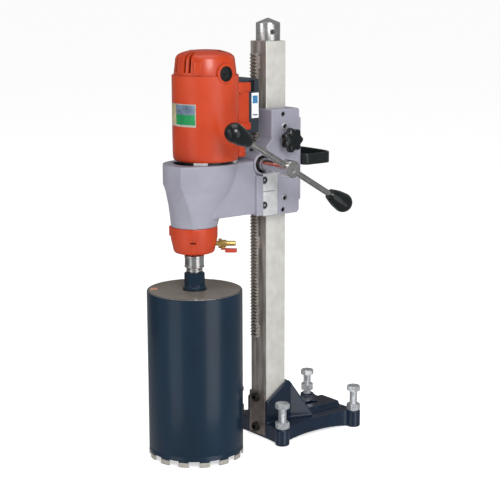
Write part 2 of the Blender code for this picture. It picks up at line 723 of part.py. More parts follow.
# ---------------------------------------------------------------- motor
def build_motor():
    wall = 0.006
    shell = MOTOR_RADIUS
    profile = [
        (shell - 0.0005, MOTOR_SPLIT), (shell, MOTOR_SPLIT - 0.010), (shell, 0.770), (shell - 0.0025, 0.712),
        (shell - 0.004, MOTOR_BOTTOM), (shell - wall - 0.004, MOTOR_BOTTOM), (shell - wall, 0.716),
        (shell - wall, MOTOR_SPLIT),
    ]
    housing = turned("motor_housing", profile, (0, MOTOR_Y, 0), "red_paint", steps=32, closed=True)
    lugs = []
    for side in (-1, 1):
        for i, (low_z, high_z) in enumerate(((0.765, 0.782), (0.826, 0.850))):
            low_x, high_x = sorted((side * 0.0318, side * 0.0420))
            lugs.append(box(f"switch_lug_{side}_{i}", (low_x, -0.1190, low_z), (high_x, -0.082, high_z)))
    join(housing, *lugs)
    bosses = [
        cylinder(f"boss_room_{side}", (side * 0.07, BRUSH_Y, BRUSH_Z), (1, 0, 0), BRUSH_BOSS_RADIUS + GAP, 0.06, sides=24)
        for side in (-1, 1)
    ]
    cut(housing, *bosses)

    profile = [
        (0, MOTOR_TOP), (0.040, MOTOR_TOP - 0.002), (0.058, MOTOR_TOP - 0.011), (0.070, MOTOR_TOP - 0.028),
        (0.0735, MOTOR_SPLIT + GAP), (0.0660, MOTOR_SPLIT + GAP),
        (0.0650, MOTOR_TOP - 0.034), (0.020, MOTOR_TOP - 0.010),
        (0.020, MOTOR_TOP - 0.026), (0.0112, MOTOR_TOP - 0.026), (0.0112, MOTOR_TOP - 0.009),
        (0, MOTOR_TOP - 0.009),
    ]
    cap = turned("motor_cap", profile, (0, MOTOR_Y, 0), "red_paint", steps=32)
    vents = []
    for facing in (-90, 90):
        for offset in VENT_ANGLES:
            angle = math.radians(facing + offset)
            vent = box(f"vent_{facing}_{offset}", (-0.014, -0.0023, -0.016), (0.014, 0.0023, 0.016))
            vent.rotation_euler.z = angle
            vent.location = (0.068 * math.cos(angle), MOTOR_Y + 0.068 * math.sin(angle), 0.916)
            vents.append(vent)
    cut(cap, *vents)
    for side, label in ((-1, "left"), (1, "right")):
        boss = cylinder(
            "brush_boss_" + label, (side * 0.0665, BRUSH_Y, BRUSH_Z), (1, 0, 0), BRUSH_BOSS_RADIUS, 0.021, sides=24
        )
        join(cap, boss)
        low, high = sorted((side * 0.0300, side * 0.0775))
        bore = cylinder(
            "brush_bore_" + label, (side * 0.060, BRUSH_Y, BRUSH_Z), (1, 0, 0), BRUSH_RADIUS + GAP, 0.070, sides=20
        )
        cut(cap, bore)
        holder = cylinder(
            "brush_holder_" + label, ((low + high) / 2, BRUSH_Y, BRUSH_Z), (1, 0, 0), BRUSH_RADIUS, high - low,
            "black_plastic", sides=20,
        )
        slot = box("brush_slot_" + label, (-0.030, -0.005, -0.008), (0.030, 0.005, 0.008))
        slot.location = (side * 0.040, BRUSH_Y, BRUSH_Z)
        cut(holder, slot)

    turned(
        "motor_bearing_plate",
        [(0.0660, 0.6997), (0.0660, BRACKET_TOP + GAP), (0.0180, BRACKET_TOP + GAP), (0.0180, 0.6845),
         (0.0113, 0.6845), (0.0113, 0.6997)],
        (0, MOTOR_Y, 0), "grey_casting", steps=24, closed=True,
    )

    turned(
        "stator", [(0.0695, 0.830), (0.0695, 0.755), (0.0440, 0.755), (0.0440, 0.830)],
        (0, MOTOR_Y, 0), "copper_core", steps=24, closed=True,
    )

    shaft_profile = [
        (0, 0.9400), (0.0075, 0.9400), (0.0075, 0.7050), (0.0060, 0.7030), (0.0060, 0.6640), (0.0036, 0.6635),
        (0.0036, 0.6480), (0, 0.6480),
    ]
    turned("armature_shaft", shaft_profile, (0, MOTOR_Y, 0), "bright_steel", steps=16)
    turned(
        "motor_bearing", [(0.0110, 0.6965), (0.0110, 0.6875), (0.0063, 0.6875), (0.0063, 0.6965)],
        (0, MOTOR_Y, 0), "bright_steel", steps=20, closed=True,
    )
    turned(
        "armature_core",
        [(0.0420, 0.825), (0.0420, 0.760), (0.0078, 0.760), (0.0078, 0.912), (0.0222, 0.912),
         (0.0222, 0.884), (0.0150, 0.876), (0.0150, 0.840), (0.0300, 0.834)],
        (0, MOTOR_Y, 0), "copper_core", steps=24, closed=True,
    )
    turned(
        "cooling_fan",
        [(0.0600, 0.7300), (0.0600, 0.7160), (0.0078, 0.7160), (0.0078, 0.7340), (0.0200, 0.7340)],
        (0, MOTOR_Y, 0), "black_plastic", steps=24, closed=True,
    )
    build_switch()


def build_switch():
    """The switch box clipped to the motor's back, with a rocker and a cord inlet."""
    low_y, high_y = -0.1215, -0.0600
    switch = box("switch_housing", (-0.0310, low_y, 0.7555), (0.0310, high_y, 0.8810), "switch_plastic", bevel=0.006)
    inside = cylinder("switch_round", (0, MOTOR_Y, 0.82), (0, 0, 1), MOTOR_RADIUS + 2 * GAP, 0.3, sides=40)
    rocker_hole = box("rocker_hole", (0.0200, -0.0850, 0.8520), (0.0400, -0.0690, 0.8770))
    gland_hole = cylinder("gland_hole", (0, -0.085, 0.756), (0, 0, 1), 0.0085 + GAP, 0.024, sides=16)
    cut(switch, inside, rocker_hole, gland_hole)
    box("power_switch", (0.0265, -0.0845, 0.8540), (0.0345, -0.0695, 0.8750), "black_plastic")
    gland = cylinder("cord_gland", (0, -0.085, 0.7530), (0, 0, 1), 0.0085, 0.024, "black_plastic", sides=16)
    cut(gland, cylinder("gland_bore", (0, -0.085, 0.745), (0, 0, 1), 0.0045, 0.030, sides=12))


# ---------------------------------------------------------------- gearbox, spindle and bit
def build_gearbox():
    pinion_1 = extruded(
        "armature_pinion", [gear_outline(GEAR_1["module"], GEAR_1["pinion"]), circle(0.0039, 16)],
        STAGE_1_Z[0] - 0.001, STAGE_1_Z[1] + 0.001, "bright_steel",
    )
    pinion_1.location = (0, MOTOR_Y, 0)
    to_layshaft = math.atan2(LAYSHAFT_Y - MOTOR_Y, LAYSHAFT_X)
    pinion_1.data.transform(Matrix.Rotation(to_layshaft, 4, "Z"))
    gear_1 = extruded(
        "layshaft_gear", [gear_outline(GEAR_1["module"], GEAR_1["gear"]), circle(0.0063, 16)],
        *STAGE_1_Z, "bright_steel",
    )
    gear_1.location = (LAYSHAFT_X, LAYSHAFT_Y, 0)
    gear_1.data.transform(Matrix.Rotation(to_layshaft + math.pi + math.pi / GEAR_1["gear"], 4, "Z"))

    to_spindle = math.atan2(SPINDLE_Y - LAYSHAFT_Y, -LAYSHAFT_X)
    layshaft = extruded(
        "layshaft", [gear_outline(GEAR_2["module"], GEAR_2["pinion"])], STAGE_2_Z[0] - 0.001, STAGE_2_Z[1] + 0.001,
        "bright_steel",
    )
    layshaft.location = (LAYSHAFT_X, LAYSHAFT_Y, 0)
    layshaft.data.transform(Matrix.Rotation(to_spindle, 4, "Z"))
    stem = cylinder("layshaft_stem", (LAYSHAFT_X, LAYSHAFT_Y, 0.6365), (0, 0, 1), 0.006, 0.083, sides=16)
    join(layshaft, stem)
    gear_2 = extruded(
        "spindle_gear", [gear_outline(GEAR_2["module"], GEAR_2["gear"]), circle(0.0133, 20)],
        *STAGE_2_Z, "bright_steel",
    )
    gear_2.location = (0, SPINDLE_Y, 0)
    gear_2.data.transform(Matrix.Rotation(to_spindle + math.pi + math.pi / GEAR_2["gear"], 4, "Z"))


def build_spindle():
    """The hollow spindle carries the water down to the bit; its lower end is a collar with flats."""
    profile = [
        (0.0130, 0.6400), (0.0130, 0.5660), (0.0150, 0.5660), (0.0150, 0.4815), (0.0230, 0.4800), (0.0230, 0.4520),
        (0.0150, 0.4500), (0.0150, 0.4400), (0.0060, 0.4400), (0.0060, 0.6400),
    ]
    spindle = turned("spindle", profile, (0, SPINDLE_Y, 0), "bright_steel", steps=22, closed=True)
    flats = []
    for side in (-1, 1):
        flats.append(
            box(f"spindle_flat_{side}", (-0.03, -0.004, 0.4560), (0.03, 0.004, 0.4730))
        )
        flats[-1].location = (0, SPINDLE_Y + side * 0.0245, 0.4645)
    cut(spindle, *flats)
    turned(
        "spindle_bearing", [(0.0235, 0.5680), (0.0235, 0.5530), (0.0154, 0.5530), (0.0154, 0.5680)],
        (0, SPINDLE_Y, 0), "bright_steel", steps=24, closed=True,
    )

    nose_profile = [
        (0.0530, BRACKET_BOTTOM - GAP), (0.0545, 0.5450), (0.0550, 0.5240), (0.0450, 0.4910), (0.0420, 0.4850),
        (0.0360, 0.4820), (0.0235, 0.4820), (0.0235, 0.5000), (0.0156, 0.5000), (0.0156, BRACKET_BOTTOM - GAP),
    ]
    nose = turned("nose_housing", nose_profile, (0, SPINDLE_Y, 0), "red_paint", steps=28, closed=True)
    along = (math.cos(VALVE_ANGLE), math.sin(VALVE_ANGLE), 0)
    port = (0.040 * along[0], SPINDLE_Y + 0.040 * along[1], VALVE_Z)
    cut(nose, cylinder("water_port", port, along, 0.0060, 0.06, sides=14))

    adapter_profile = [
        (0.0210, 0.4396), (0.0210, 0.4060), (0.0270, 0.4040), (0.0270, BIT_TOP + GAP), (0.0070, BIT_TOP + GAP),
        (0.0070, 0.4396),
    ]
    adapter = turned("bit_adapter", adapter_profile, (0, SPINDLE_Y, 0), "black_steel", steps=24, closed=True)
    grips = []
    for i in range(3):
        for side in (-1, 1):
            angle = math.pi * i / 3
            flat = box(f"adapter_flat_{i}_{side}", (-0.02, -0.003, -0.0105), (0.02, 0.003, 0.0105))
            flat.rotation_euler.z = angle
            offset = side * 0.0215
            flat.location = (-math.sin(angle) * offset, SPINDLE_Y + math.cos(angle) * offset, 0.4250)
            grips.append(flat)
    cut(adapter, *grips)

    barrel_profile = [
        (0.0270, BIT_TOP), (0.1095, BIT_TOP), (BIT_RADIUS, BIT_TOP - 0.002), (BIT_RADIUS, SEGMENT_HEIGHT),
        (BIT_RADIUS + 0.0006, SEGMENT_HEIGHT), (BIT_RADIUS + 0.0006, 0.0), (BIT_RADIUS - 0.0042, 0.0),
        (BIT_RADIUS - 0.0042, SEGMENT_HEIGHT), (BIT_RADIUS - BIT_WALL, SEGMENT_HEIGHT),
        (BIT_RADIUS - BIT_WALL, BIT_TOP - 0.010), (0.0070, BIT_TOP - 0.010), (0.0070, BIT_TOP),
    ]
    barrel = turned("core_bit", barrel_profile, (0, SPINDLE_Y, 0), "bit_paint", steps=BIT_SEGMENTS * 3, closed=True)
    notches = []
    for i in range(BIT_SEGMENTS // 2):
        angle = math.pi * (i + 0.5) / (BIT_SEGMENTS / 2)
        notch = box(f"segment_gap_{i}", (-0.2, -0.0130, -0.005), (0.2, 0.0130, SEGMENT_HEIGHT - 0.0004))
        notch.rotation_euler.z = angle
        notch.location = (0, SPINDLE_Y, (SEGMENT_HEIGHT - 0.0054) / 2)
        notches.append(notch)
    cut(barrel, *notches)


# ---------------------------------------------------------------- water valve
def build_valve():
    """A small brass ball valve screwed into the nose, with a hose barb and a red lever."""
    parent = bpy.data.objects.new("valve_axis", None)
    parent.location = (0, SPINDLE_Y, VALVE_Z)
    parent.rotation_euler.z = VALVE_ANGLE
    CUTTERS.objects.link(parent)

    body = cylinder("valve_body", (0.0650, 0, 0), (1, 0, 0), 0.0065, 0.018, "brass", sides=14)
    thread = cylinder("valve_thread", (0.0470, 0, 0), (1, 0, 0), 0.0055, 0.020, sides=14)
    hexagon = cylinder("valve_hexagon", (0.0600, 0, 0), (1, 0, 0), 0.0092, 0.007, sides=6)
    stem = cylinder("valve_stem_boss", (0.0680, 0, -0.0075), (0, 0, 1), 0.0045, 0.009, sides=12)
    barb = turned(
        "hose_barb",
        [(0, 0.0235), (0.0040, 0.0235), (0.0050, 0.0180), (0.0042, 0.0175), (0.0050, 0.0110), (0.0042, 0.0105),
         (0.0050, 0.0040), (0.0042, 0.0035), (0.0042, 0.0), (0, 0)],
        (0.0730, 0, 0), None, (1, 0, 0), steps=12,
    )
    bore = cylinder("valve_bore", (0.068, 0, 0), (1, 0, 0), 0.0025, 0.08, sides=10)
    join(body, thread, hexagon, stem, barb)
    cut(body, bore)
    top = -0.0120 - GAP
    lever = extruded(
        "valve_lever",
        [[(-0.006, -0.005), (0.005, -0.006), (0.024, -0.004), (0.031, -0.0045), (0.031, 0.0045), (0.024, 0.004),
          (0.005, 0.006), (-0.006, 0.005)]],
        -0.0022, 0.0, "red_paint",
    )
    lever.location = (0.0680, 0, top)
    grip = box("lever_grip", (0.0150, -0.0045, -0.0075), (0.0310, 0.0045, -0.0010))
    grip.location = (0.0680 + 0.0230, 0, top - 0.0042)
    join(lever, grip)
    for piece in (body, thread, hexagon, stem, barb, bore, lever, grip):
        piece.parent = parent


build_base()
build_levelling()
build_column()
build_rack()
build_carriage()
build_feed()
build_lock()
build_bracket()
build_motor()
build_gearbox()
build_spindle()
build_valve()
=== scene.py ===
"""Core drill rig: the looks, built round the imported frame."""

import math

import bmesh
import bpy
from mathutils import Matrix, Vector


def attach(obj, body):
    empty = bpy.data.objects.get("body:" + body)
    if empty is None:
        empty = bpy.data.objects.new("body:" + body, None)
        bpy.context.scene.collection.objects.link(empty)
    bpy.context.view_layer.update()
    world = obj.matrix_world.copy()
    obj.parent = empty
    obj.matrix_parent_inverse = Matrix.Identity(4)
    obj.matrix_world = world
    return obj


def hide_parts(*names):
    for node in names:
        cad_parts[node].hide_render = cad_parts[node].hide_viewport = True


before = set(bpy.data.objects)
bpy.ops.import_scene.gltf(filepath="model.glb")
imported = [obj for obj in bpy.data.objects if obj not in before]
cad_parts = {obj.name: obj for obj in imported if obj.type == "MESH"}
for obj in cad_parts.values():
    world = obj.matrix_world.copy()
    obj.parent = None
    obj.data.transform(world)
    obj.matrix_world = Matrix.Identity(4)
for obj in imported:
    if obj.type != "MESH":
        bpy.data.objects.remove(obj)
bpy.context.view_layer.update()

# ================================================================ studio
# A pale seamless floor and a white room.  The key softbox hangs high on the feed-handle side, two tall strips
# that reach the floor put the long streaks on paint and steel, and a long lens looks from that side too, a
# little above the middle of the column.

scene = bpy.context.scene
scene.view_settings.view_transform = "Standard"


def linear(code):
    """An sRGB hex colour, such as 'B0B0B4', as a linear colour with alpha."""
    channels = [int(code[i : i + 2], 16) / 255 for i in (0, 2, 4)]
    return (*[c / 12.92 if c <= 0.04045 else ((c + 0.055) / 1.055) ** 2.4 for c in channels], 1.0)


def add_node(tree, kind, values=None, **settings):
    """One shader node with its settings; a value that is a socket becomes a link."""
    made = tree.nodes.new(kind)
    for name, setting in settings.items():
        setattr(made, name, setting)
    for name, value in (values or {}).items():
        socket = made.inputs[name]
        if isinstance(value, bpy.types.NodeSocket):
            tree.links.new(value, socket)
        else:
            socket.default_value = value
    return made


def new_material(name):
    """An empty node material; returns the material, its tree and its output node."""
    made = bpy.data.materials.new(name)
    made.use_nodes = True
    made.node_tree.nodes.clear()
    output = made.node_tree.nodes.new("ShaderNodeOutputMaterial")
    return made, made.node_tree, output


FLOOR_WIDTH = 600  # metres: wide enough that its far edge meets the white room out of sight

# Painted plaster floor: matt, almost white, with the faint unevenness of a rolled coat.
floor_paint, tree, output = new_material("floor_matt_white_paint")
where = add_node(tree, "ShaderNodeTexCoord").outputs["Object"]
mottle = add_node(tree, "ShaderNodeTexNoise", {"Vector": where, "Scale": 3.0, "Detail": 3.0}).outputs["Fac"]
shade = add_node(tree, "ShaderNodeMix", {0: mottle, 6: linear("F4F4F3"), 7: linear("F9F9F8")}, data_type="RGBA")
surface = add_node(
    tree, "ShaderNodeBsdfPrincipled",
    {"Base Color": shade.outputs[2], "Roughness": 0.85, "Emission Color": linear("FFFFFF"), "Emission Strength": 0.60},
)
tree.links.new(surface.outputs[0], output.inputs[0])

bpy.ops.object.select_all(action="DESELECT")
bpy.ops.mesh.primitive_plane_add(size=FLOOR_WIDTH, location=(0, 0, -0.0008))
floor = bpy.context.object
floor.name = "studio_floor"
bpy.ops.object.mode_set(mode="EDIT")
bpy.ops.mesh.select_all(action="SELECT")
bpy.ops.mesh.subdivide(number_cuts=3)
bpy.ops.object.mode_set(mode="OBJECT")
floor.data.materials.append(floor_paint)
floor.visible_glossy = False

world = bpy.data.worlds.new("studio_air")
world.use_nodes = True
scene.world = world
background = world.node_tree.nodes["Background"]
# The room is white to the eye, greyer in reflections, and lights the rig less brightly than it looks.
light_path = add_node(world.node_tree, "ShaderNodeLightPath")
sky = add_node(
    world.node_tree, "ShaderNodeMix",
    {0: light_path.outputs["Is Glossy Ray"], 6: linear("FDFDFD"), 7: linear("C6C8CB")}, data_type="RGBA",
)
world.node_tree.links.new(sky.outputs[2], background.inputs["Color"])
lift = add_node(
    world.node_tree, "ShaderNodeMath", {0: light_path.outputs["Is Camera Ray"], 1: 0.40, 2: 0.42},
    operation="MULTIPLY_ADD",
)
world.node_tree.links.new(lift.outputs[0], background.inputs["Strength"])

RIG_MIDDLE = Vector((0.0, -0.08, 0.52))
for lamp_name, spot, watts, width, height in (
    ("front_softbox", (-0.6, -2.6, 1.7), 6, 1.0, 1.0),
    ("key_softbox", (2.7, -1.1, 2.2), 58, 1.1, 1.1),
    ("top_softbox", (0.2, -0.2, 3.4), 26, 2.2, 2.2),
    ("right_strip", (2.5, 0.09, 0.10), 15.0, 1.5, 3.0),
    ("front_strip", (0.30, -2.6, 0.10), 7.0, 1.3, 3.0),
):
    bpy.ops.object.light_add(type="AREA", location=spot)
    lamp = bpy.context.object
    lamp.name = lamp_name
    lamp.data.energy = watts
    lamp.data.shape = "RECTANGLE"
    lamp.data.size = width
    lamp.data.size_y = height
    aim = Vector((0, -0.1, spot[2])) if lamp_name.endswith("strip") else RIG_MIDDLE
    lamp.rotation_euler = (Vector(spot) - aim).to_track_quat("Z", "Y").to_euler()

# Two cards of brown paper outside the view: bright steel and gloss paint mirror them as darker bands.
card_paper, tree, output = new_material("reflection_card_brown_paper")
where = add_node(tree, "ShaderNodeTexCoord").outputs["Object"]
fibre = add_node(tree, "ShaderNodeTexNoise", {"Vector": where, "Scale": 9.0, "Detail": 4.0}).outputs["Fac"]
shade = add_node(tree, "ShaderNodeMix", {0: fibre, 6: linear("3A322D"), 7: linear("5C5048")}, data_type="RGBA")
surface = add_node(tree, "ShaderNodeBsdfPrincipled", {"Base Color": shade.outputs[2], "Roughness": 0.9})
tree.links.new(surface.outputs[0], output.inputs[0])
for card_name, spot, width, height in (
    ("card_rear_left", (-2.3, 1.8, 0.55), 2.4, 1.1),
    ("card_front_left", (-1.25, -1.0, 0.42), 0.9, 0.9),
):
    bpy.ops.object.select_all(action="DESELECT")
    bpy.ops.mesh.primitive_plane_add(size=1, location=spot)
    card = bpy.context.object
    card.name = card_name
    card.scale = (width, height, 1)
    card.rotation_euler = (Vector((0, 0, spot[2])) - Vector(spot)).to_track_quat("Z", "Y").to_euler()
    card.visible_camera = False
    card.visible_shadow = False
    card.visible_diffuse = False
    card.data.materials.append(card_paper)

CAMERA_SPOT = Vector((2.4964, -2.0065, 1.1204))
VIEW_BACK = Vector((0.7718, -0.6033, 0.2010)).normalized()
CAMERA_ROLL = math.radians(-0.163)
bpy.ops.object.camera_add(location=CAMERA_SPOT)
camera = bpy.context.object
camera.name = "studio_camera"
sideways = Vector((0, 0, 1)).cross(VIEW_BACK).normalized()
upright = VIEW_BACK.cross(sideways)
turn = Matrix((sideways, upright, VIEW_BACK)).transposed().to_4x4()
camera.matrix_world = Matrix.Translation(CAMERA_SPOT) @ turn @ Matrix.Rotation(CAMERA_ROLL, 4, "Z")
camera.data.lens = 97.4
camera.data.sensor_width = 36.0
scene.camera = camera

# ================================================================ base casting
# The foot is one iron casting, sprayed with a thick gloss navy enamel: a low slab with hollow sides, a boss at
# each corner for a levelling screw, a socket that the column is clamped in, and a web behind each socket wall.
# Its edges are as soft as sand casting and paint leave them.


def clear_selection():
    """Object mode, with nothing selected."""
    if bpy.context.object and bpy.context.object.mode != "OBJECT":
        bpy.ops.object.mode_set(mode="OBJECT")
    bpy.ops.object.select_all(action="DESELECT")


def on_bench(piece, mode="EDIT"):
    """Only this piece is selected and active, in that mode."""
    clear_selection()
    piece.select_set(True)
    bpy.context.view_layer.objects.active = piece
    bpy.ops.object.mode_set(mode=mode)
    return piece


def pick(kind, test):
    """Selects only the faces, edges or corners of the piece in edit mode that pass a test on place and normal."""
    bpy.ops.mesh.select_mode(type=kind)
    bpy.ops.mesh.select_all(action="DESELECT")
    mesh = bmesh.from_edit_mesh(bpy.context.edit_object.data)
    for face in mesh.faces if kind == "FACE" else ():
        face.select_set(bool(test(face.calc_center_median(), face.normal)))
    for edge in mesh.edges if kind == "EDGE" else ():
        first, second = edge.verts[0].co, edge.verts[1].co
        edge.select_set(bool(test((first + second) / 2, second - first)))
    for corner in mesh.verts if kind == "VERT" else ():
        corner.select_set(bool(test(corner.co, corner.normal)))
    bmesh.update_edit_mesh(bpy.context.edit_object.data)


def with_modifier(piece, kind, **settings):
    """The piece with one modifier added and applied."""
    on_bench(piece, "OBJECT")
    modifier = piece.modifiers.new(kind.lower(), kind)
    for name, setting in settings.items():
        setattr(modifier, name, setting)
    bpy.ops.object.modifier_apply(modifier=modifier.name)
    return piece


def settled(piece, turn=None):
    """The piece with its place in its mesh; turn, if given, is laid on top of where it stands."""
    if turn is not None:
        piece.matrix_world = turn @ piece.matrix_world
    on_bench(piece, "OBJECT")
    bpy.ops.object.transform_apply(location=True, rotation=True, scale=True)
    return piece


def facing(direction, place):
    """The turn and move that take something made along +Z at the origin to that place and direction."""
    direction = Vector(direction).normalized()
    return Matrix.Translation(Vector(place)) @ direction.to_track_quat("Z", "Y").to_matrix().to_4x4()


def block(name, low, high, edge=0.0, segments=3):
    """A sawn block between two corners, its edges rounded by edge."""
    clear_selection()
    low, high = Vector(low), Vector(high)
    bpy.ops.mesh.primitive_cube_add(size=1, location=(low + high) / 2, scale=high - low)
    piece = settled(bpy.context.object)
    piece.name = name
    if edge:
        on_bench(piece)
        bpy.ops.mesh.select_all(action="SELECT")
        bpy.ops.mesh.bevel(offset=edge, segments=segments, affect="EDGES")
        bpy.ops.object.mode_set(mode="OBJECT")
    return piece


def round_bar(name, place, direction, radius, length, edge=0.0, sides=64):
    """A round bar centred on a place, its two rims chamfered by edge."""
    clear_selection()
    bpy.ops.mesh.primitive_cone_add(vertices=sides, radius1=radius, radius2=radius, depth=length)
    piece = bpy.context.object
    piece.name = name
    if edge:
        on_bench(piece)
        pick("EDGE", lambda at, along: abs(abs(at.z) - length / 2) < 1e-6)
        bpy.ops.mesh.bevel(offset=edge, segments=2, affect="EDGES")
        bpy.ops.object.mode_set(mode="OBJECT")
    return settled(piece, facing(direction, place))


def drawn(name, points):
    """A line through points: one corner, extruded from each point to the next.  It is left in edit mode."""
    clear_selection()
    bpy.ops.mesh.primitive_plane_add(size=0.001)
    piece = bpy.context.object
    piece.name = name
    on_bench(piece)
    bpy.ops.mesh.select_mode(type="VERT")
    bpy.ops.mesh.select_all(action="SELECT")
    bpy.ops.mesh.merge(type="CENTER")
    bpy.ops.transform.translate(value=points[0])
    for here, there in zip(points, points[1:]):
        move = Vector(there) - Vector(here)
        bpy.ops.mesh.extrude_vertices_move(TRANSFORM_OT_translate={"value": move})
    return piece


def tidy_skin(piece):
    """Doubles merged and faces turned outwards, for the piece in edit mode."""
    bpy.ops.mesh.select_all(action="SELECT")
    bpy.ops.mesh.remove_doubles(threshold=1e-6)
    bpy.ops.mesh.normals_make_consistent(inside=False)
    bpy.ops.object.mode_set(mode="OBJECT")
    return piece


def cut_plate(name, outline, low, high, axis="Z"):
    """A plate of that outline, from low to high along its axis (outline in XY, in YZ for X, or in XZ for Y)."""
    spot = {"Z": lambda a, b, c: (a, b, c), "X": lambda a, b, c: (c, a, b), "Y": lambda a, b, c: (a, c, b)}[axis]
    piece = drawn(name, [spot(a, b, low) for a, b in outline])
    bpy.ops.mesh.select_all(action="SELECT")
    bpy.ops.mesh.edge_face_add()
    bpy.ops.mesh.extrude_region_move(TRANSFORM_OT_translate={"value": spot(0, 0, high - low)})
    return tidy_skin(piece)


def joined(piece, *others):
    """Several meshes as one object; where they pass through each other, so do their surfaces."""
    on_bench(piece, "OBJECT")
    for other in others:
        other.select_set(True)
    bpy.ops.object.join()
    return piece


def carved(piece, *tools, operation="DIFFERENCE"):
    """The piece with each tool cut away, or added on, and the tools thrown away."""
    for tool in tools:
        with_modifier(piece, "BOOLEAN", object=tool, operation=operation, solver="EXACT")
        bpy.data.objects.remove(tool)
    return piece


def cast_skin(piece, grain, rounds, keep):
    """Overlapping shapes run together as in a mould: one skin of grain-sized faces, smoothed, then thinned."""
    with_modifier(piece, "REMESH", mode="VOXEL", voxel_size=grain)
    with_modifier(piece, "SMOOTH", factor=0.5, iterations=rounds)
    if keep < 1:
        with_modifier(piece, "DECIMATE", ratio=keep)
    return piece


def fitted(piece, body, material, slot, *nodes, sharp=35):
    """The last steps for a piece: place in its mesh, shading, finish, and the CAD body and nodes it stands for."""
    settled(piece)
    bpy.ops.object.shade_smooth_by_angle(angle=math.radians(sharp))
    piece.data.name = piece.name
    piece.data.materials.clear()
    piece.data.materials.append(material)
    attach(piece, body)
    if nodes:
        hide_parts(*nodes)
    return piece


def copied(piece, name, turn):
    """A copy with its own mesh, moved by turn."""
    clear_selection()
    other = piece.copy()
    other.data = piece.data.copy()
    other.name = name
    bpy.context.scene.collection.objects.link(other)
    other.data.transform(turn)
    return other


def coated(name, colour, deep, gloss, patch, grain, depth, coat=0.0, worn=None, metallic=0.0, stretch=(1, 1, 1)):
    """A painted or moulded skin.  Colour and gloss drift between two values over patches of that many mm; the
    surface rises and falls by depth mm over grain mm; worn is a paler colour that shows on outer edges."""
    made, tree, output = new_material(name)
    place = add_node(tree, "ShaderNodeTexCoord").outputs["Object"]
    place = add_node(tree, "ShaderNodeMapping", {"Vector": place, "Scale": stretch}).outputs[0]
    drift = add_node(
        tree, "ShaderNodeTexNoise", {"Vector": place, "Scale": 1000 / patch, "Detail": 4.0, "Roughness": 0.6}
    ).outputs["Fac"]
    spread = add_node(
        tree, "ShaderNodeMapRange", {"Value": drift, "From Min": 0.32, "From Max": 0.68}
    ).outputs["Result"]
    skin = add_node(
        tree, "ShaderNodeMix", {0: spread, 6: linear(deep), 7: linear(colour)}, data_type="RGBA"
    ).outputs[2]
    if worn:
        edge = add_node(tree, "ShaderNodeNewGeometry").outputs["Pointiness"]
        edge = add_node(
            tree, "ShaderNodeMapRange", {"Value": edge, "From Min": 0.53, "From Max": 0.62, "To Max": 0.55}
        ).outputs["Result"]
        skin = add_node(
            tree, "ShaderNodeMix", {0: edge, 6: skin, 7: linear(worn)}, data_type="RGBA"
        ).outputs[2]
    sheen = add_node(
        tree, "ShaderNodeMapRange", {"Value": drift, "To Min": gloss[0], "To Max": gloss[1]}
    ).outputs["Result"]
    fine = add_node(
        tree, "ShaderNodeTexNoise", {"Vector": place, "Scale": 1000 / grain, "Detail": 2.0}
    ).outputs["Fac"]
    relief = add_node(
        tree, "ShaderNodeBump", {"Height": fine, "Strength": 1.0, "Distance": depth / 1000}
    ).outputs["Normal"]
    shader = add_node(
        tree, "ShaderNodeBsdfPrincipled",
        {"Base Color": skin, "Roughness": sheen, "Normal": relief, "Coat Weight": coat, "Coat Roughness": 0.08,
         "Metallic": metallic},
    )
    tree.links.new(shader.outputs[0], output.inputs[0])
    return made


# Gloss enamel, sprayed on rough iron: nearly black navy, a slow orange peel about 4 mm across, edges rubbed paler.
navy_enamel = coated(
    "navy_gloss_enamel_on_cast_iron", "0A2038", "071728", (0.20, 0.32), 60, 4.0, 0.030, coat=0.35, worn="4A5A6A"
)

BOSS_X, BOSS_FRONT, BOSS_REAR, BOSS_R = 0.0897, -0.0275, 0.2033, 0.0175
BASE_TOP = 0.040
corner_spots = {
    "front_left": (-BOSS_X, BOSS_FRONT), "front_right": (BOSS_X, BOSS_FRONT),
    "rear_left": (-BOSS_X, BOSS_REAR), "rear_right": (BOSS_X, BOSS_REAR),
}

side_reach = BOSS_X + 0.008
mid_y, half_run = (BOSS_FRONT + BOSS_REAR) / 2, (BOSS_REAR - BOSS_FRONT) / 2
slab_line = []
for i in range(33):
    t = -1 + i / 16
    slab_line.append((side_reach - 0.020 * (1 - t**4) ** 0.5, mid_y + t * half_run))
slab_line += [((1 - i / 8) * BOSS_X, BOSS_REAR + 0.014 - 0.006 * (1 - (1 - i / 8) ** 2)) for i in range(1, 16)]
for i in range(33):
    t = 1 - i / 16
    slab_line.append((-side_reach + 0.020 * (1 - t**4) ** 0.5, mid_y + t * half_run))
slab_line += [((i / 8 - 1) * BOSS_X, BOSS_FRONT - 0.009 + 0.004 * (1 - (i / 8 - 1) ** 2)) for i in range(1, 16)]

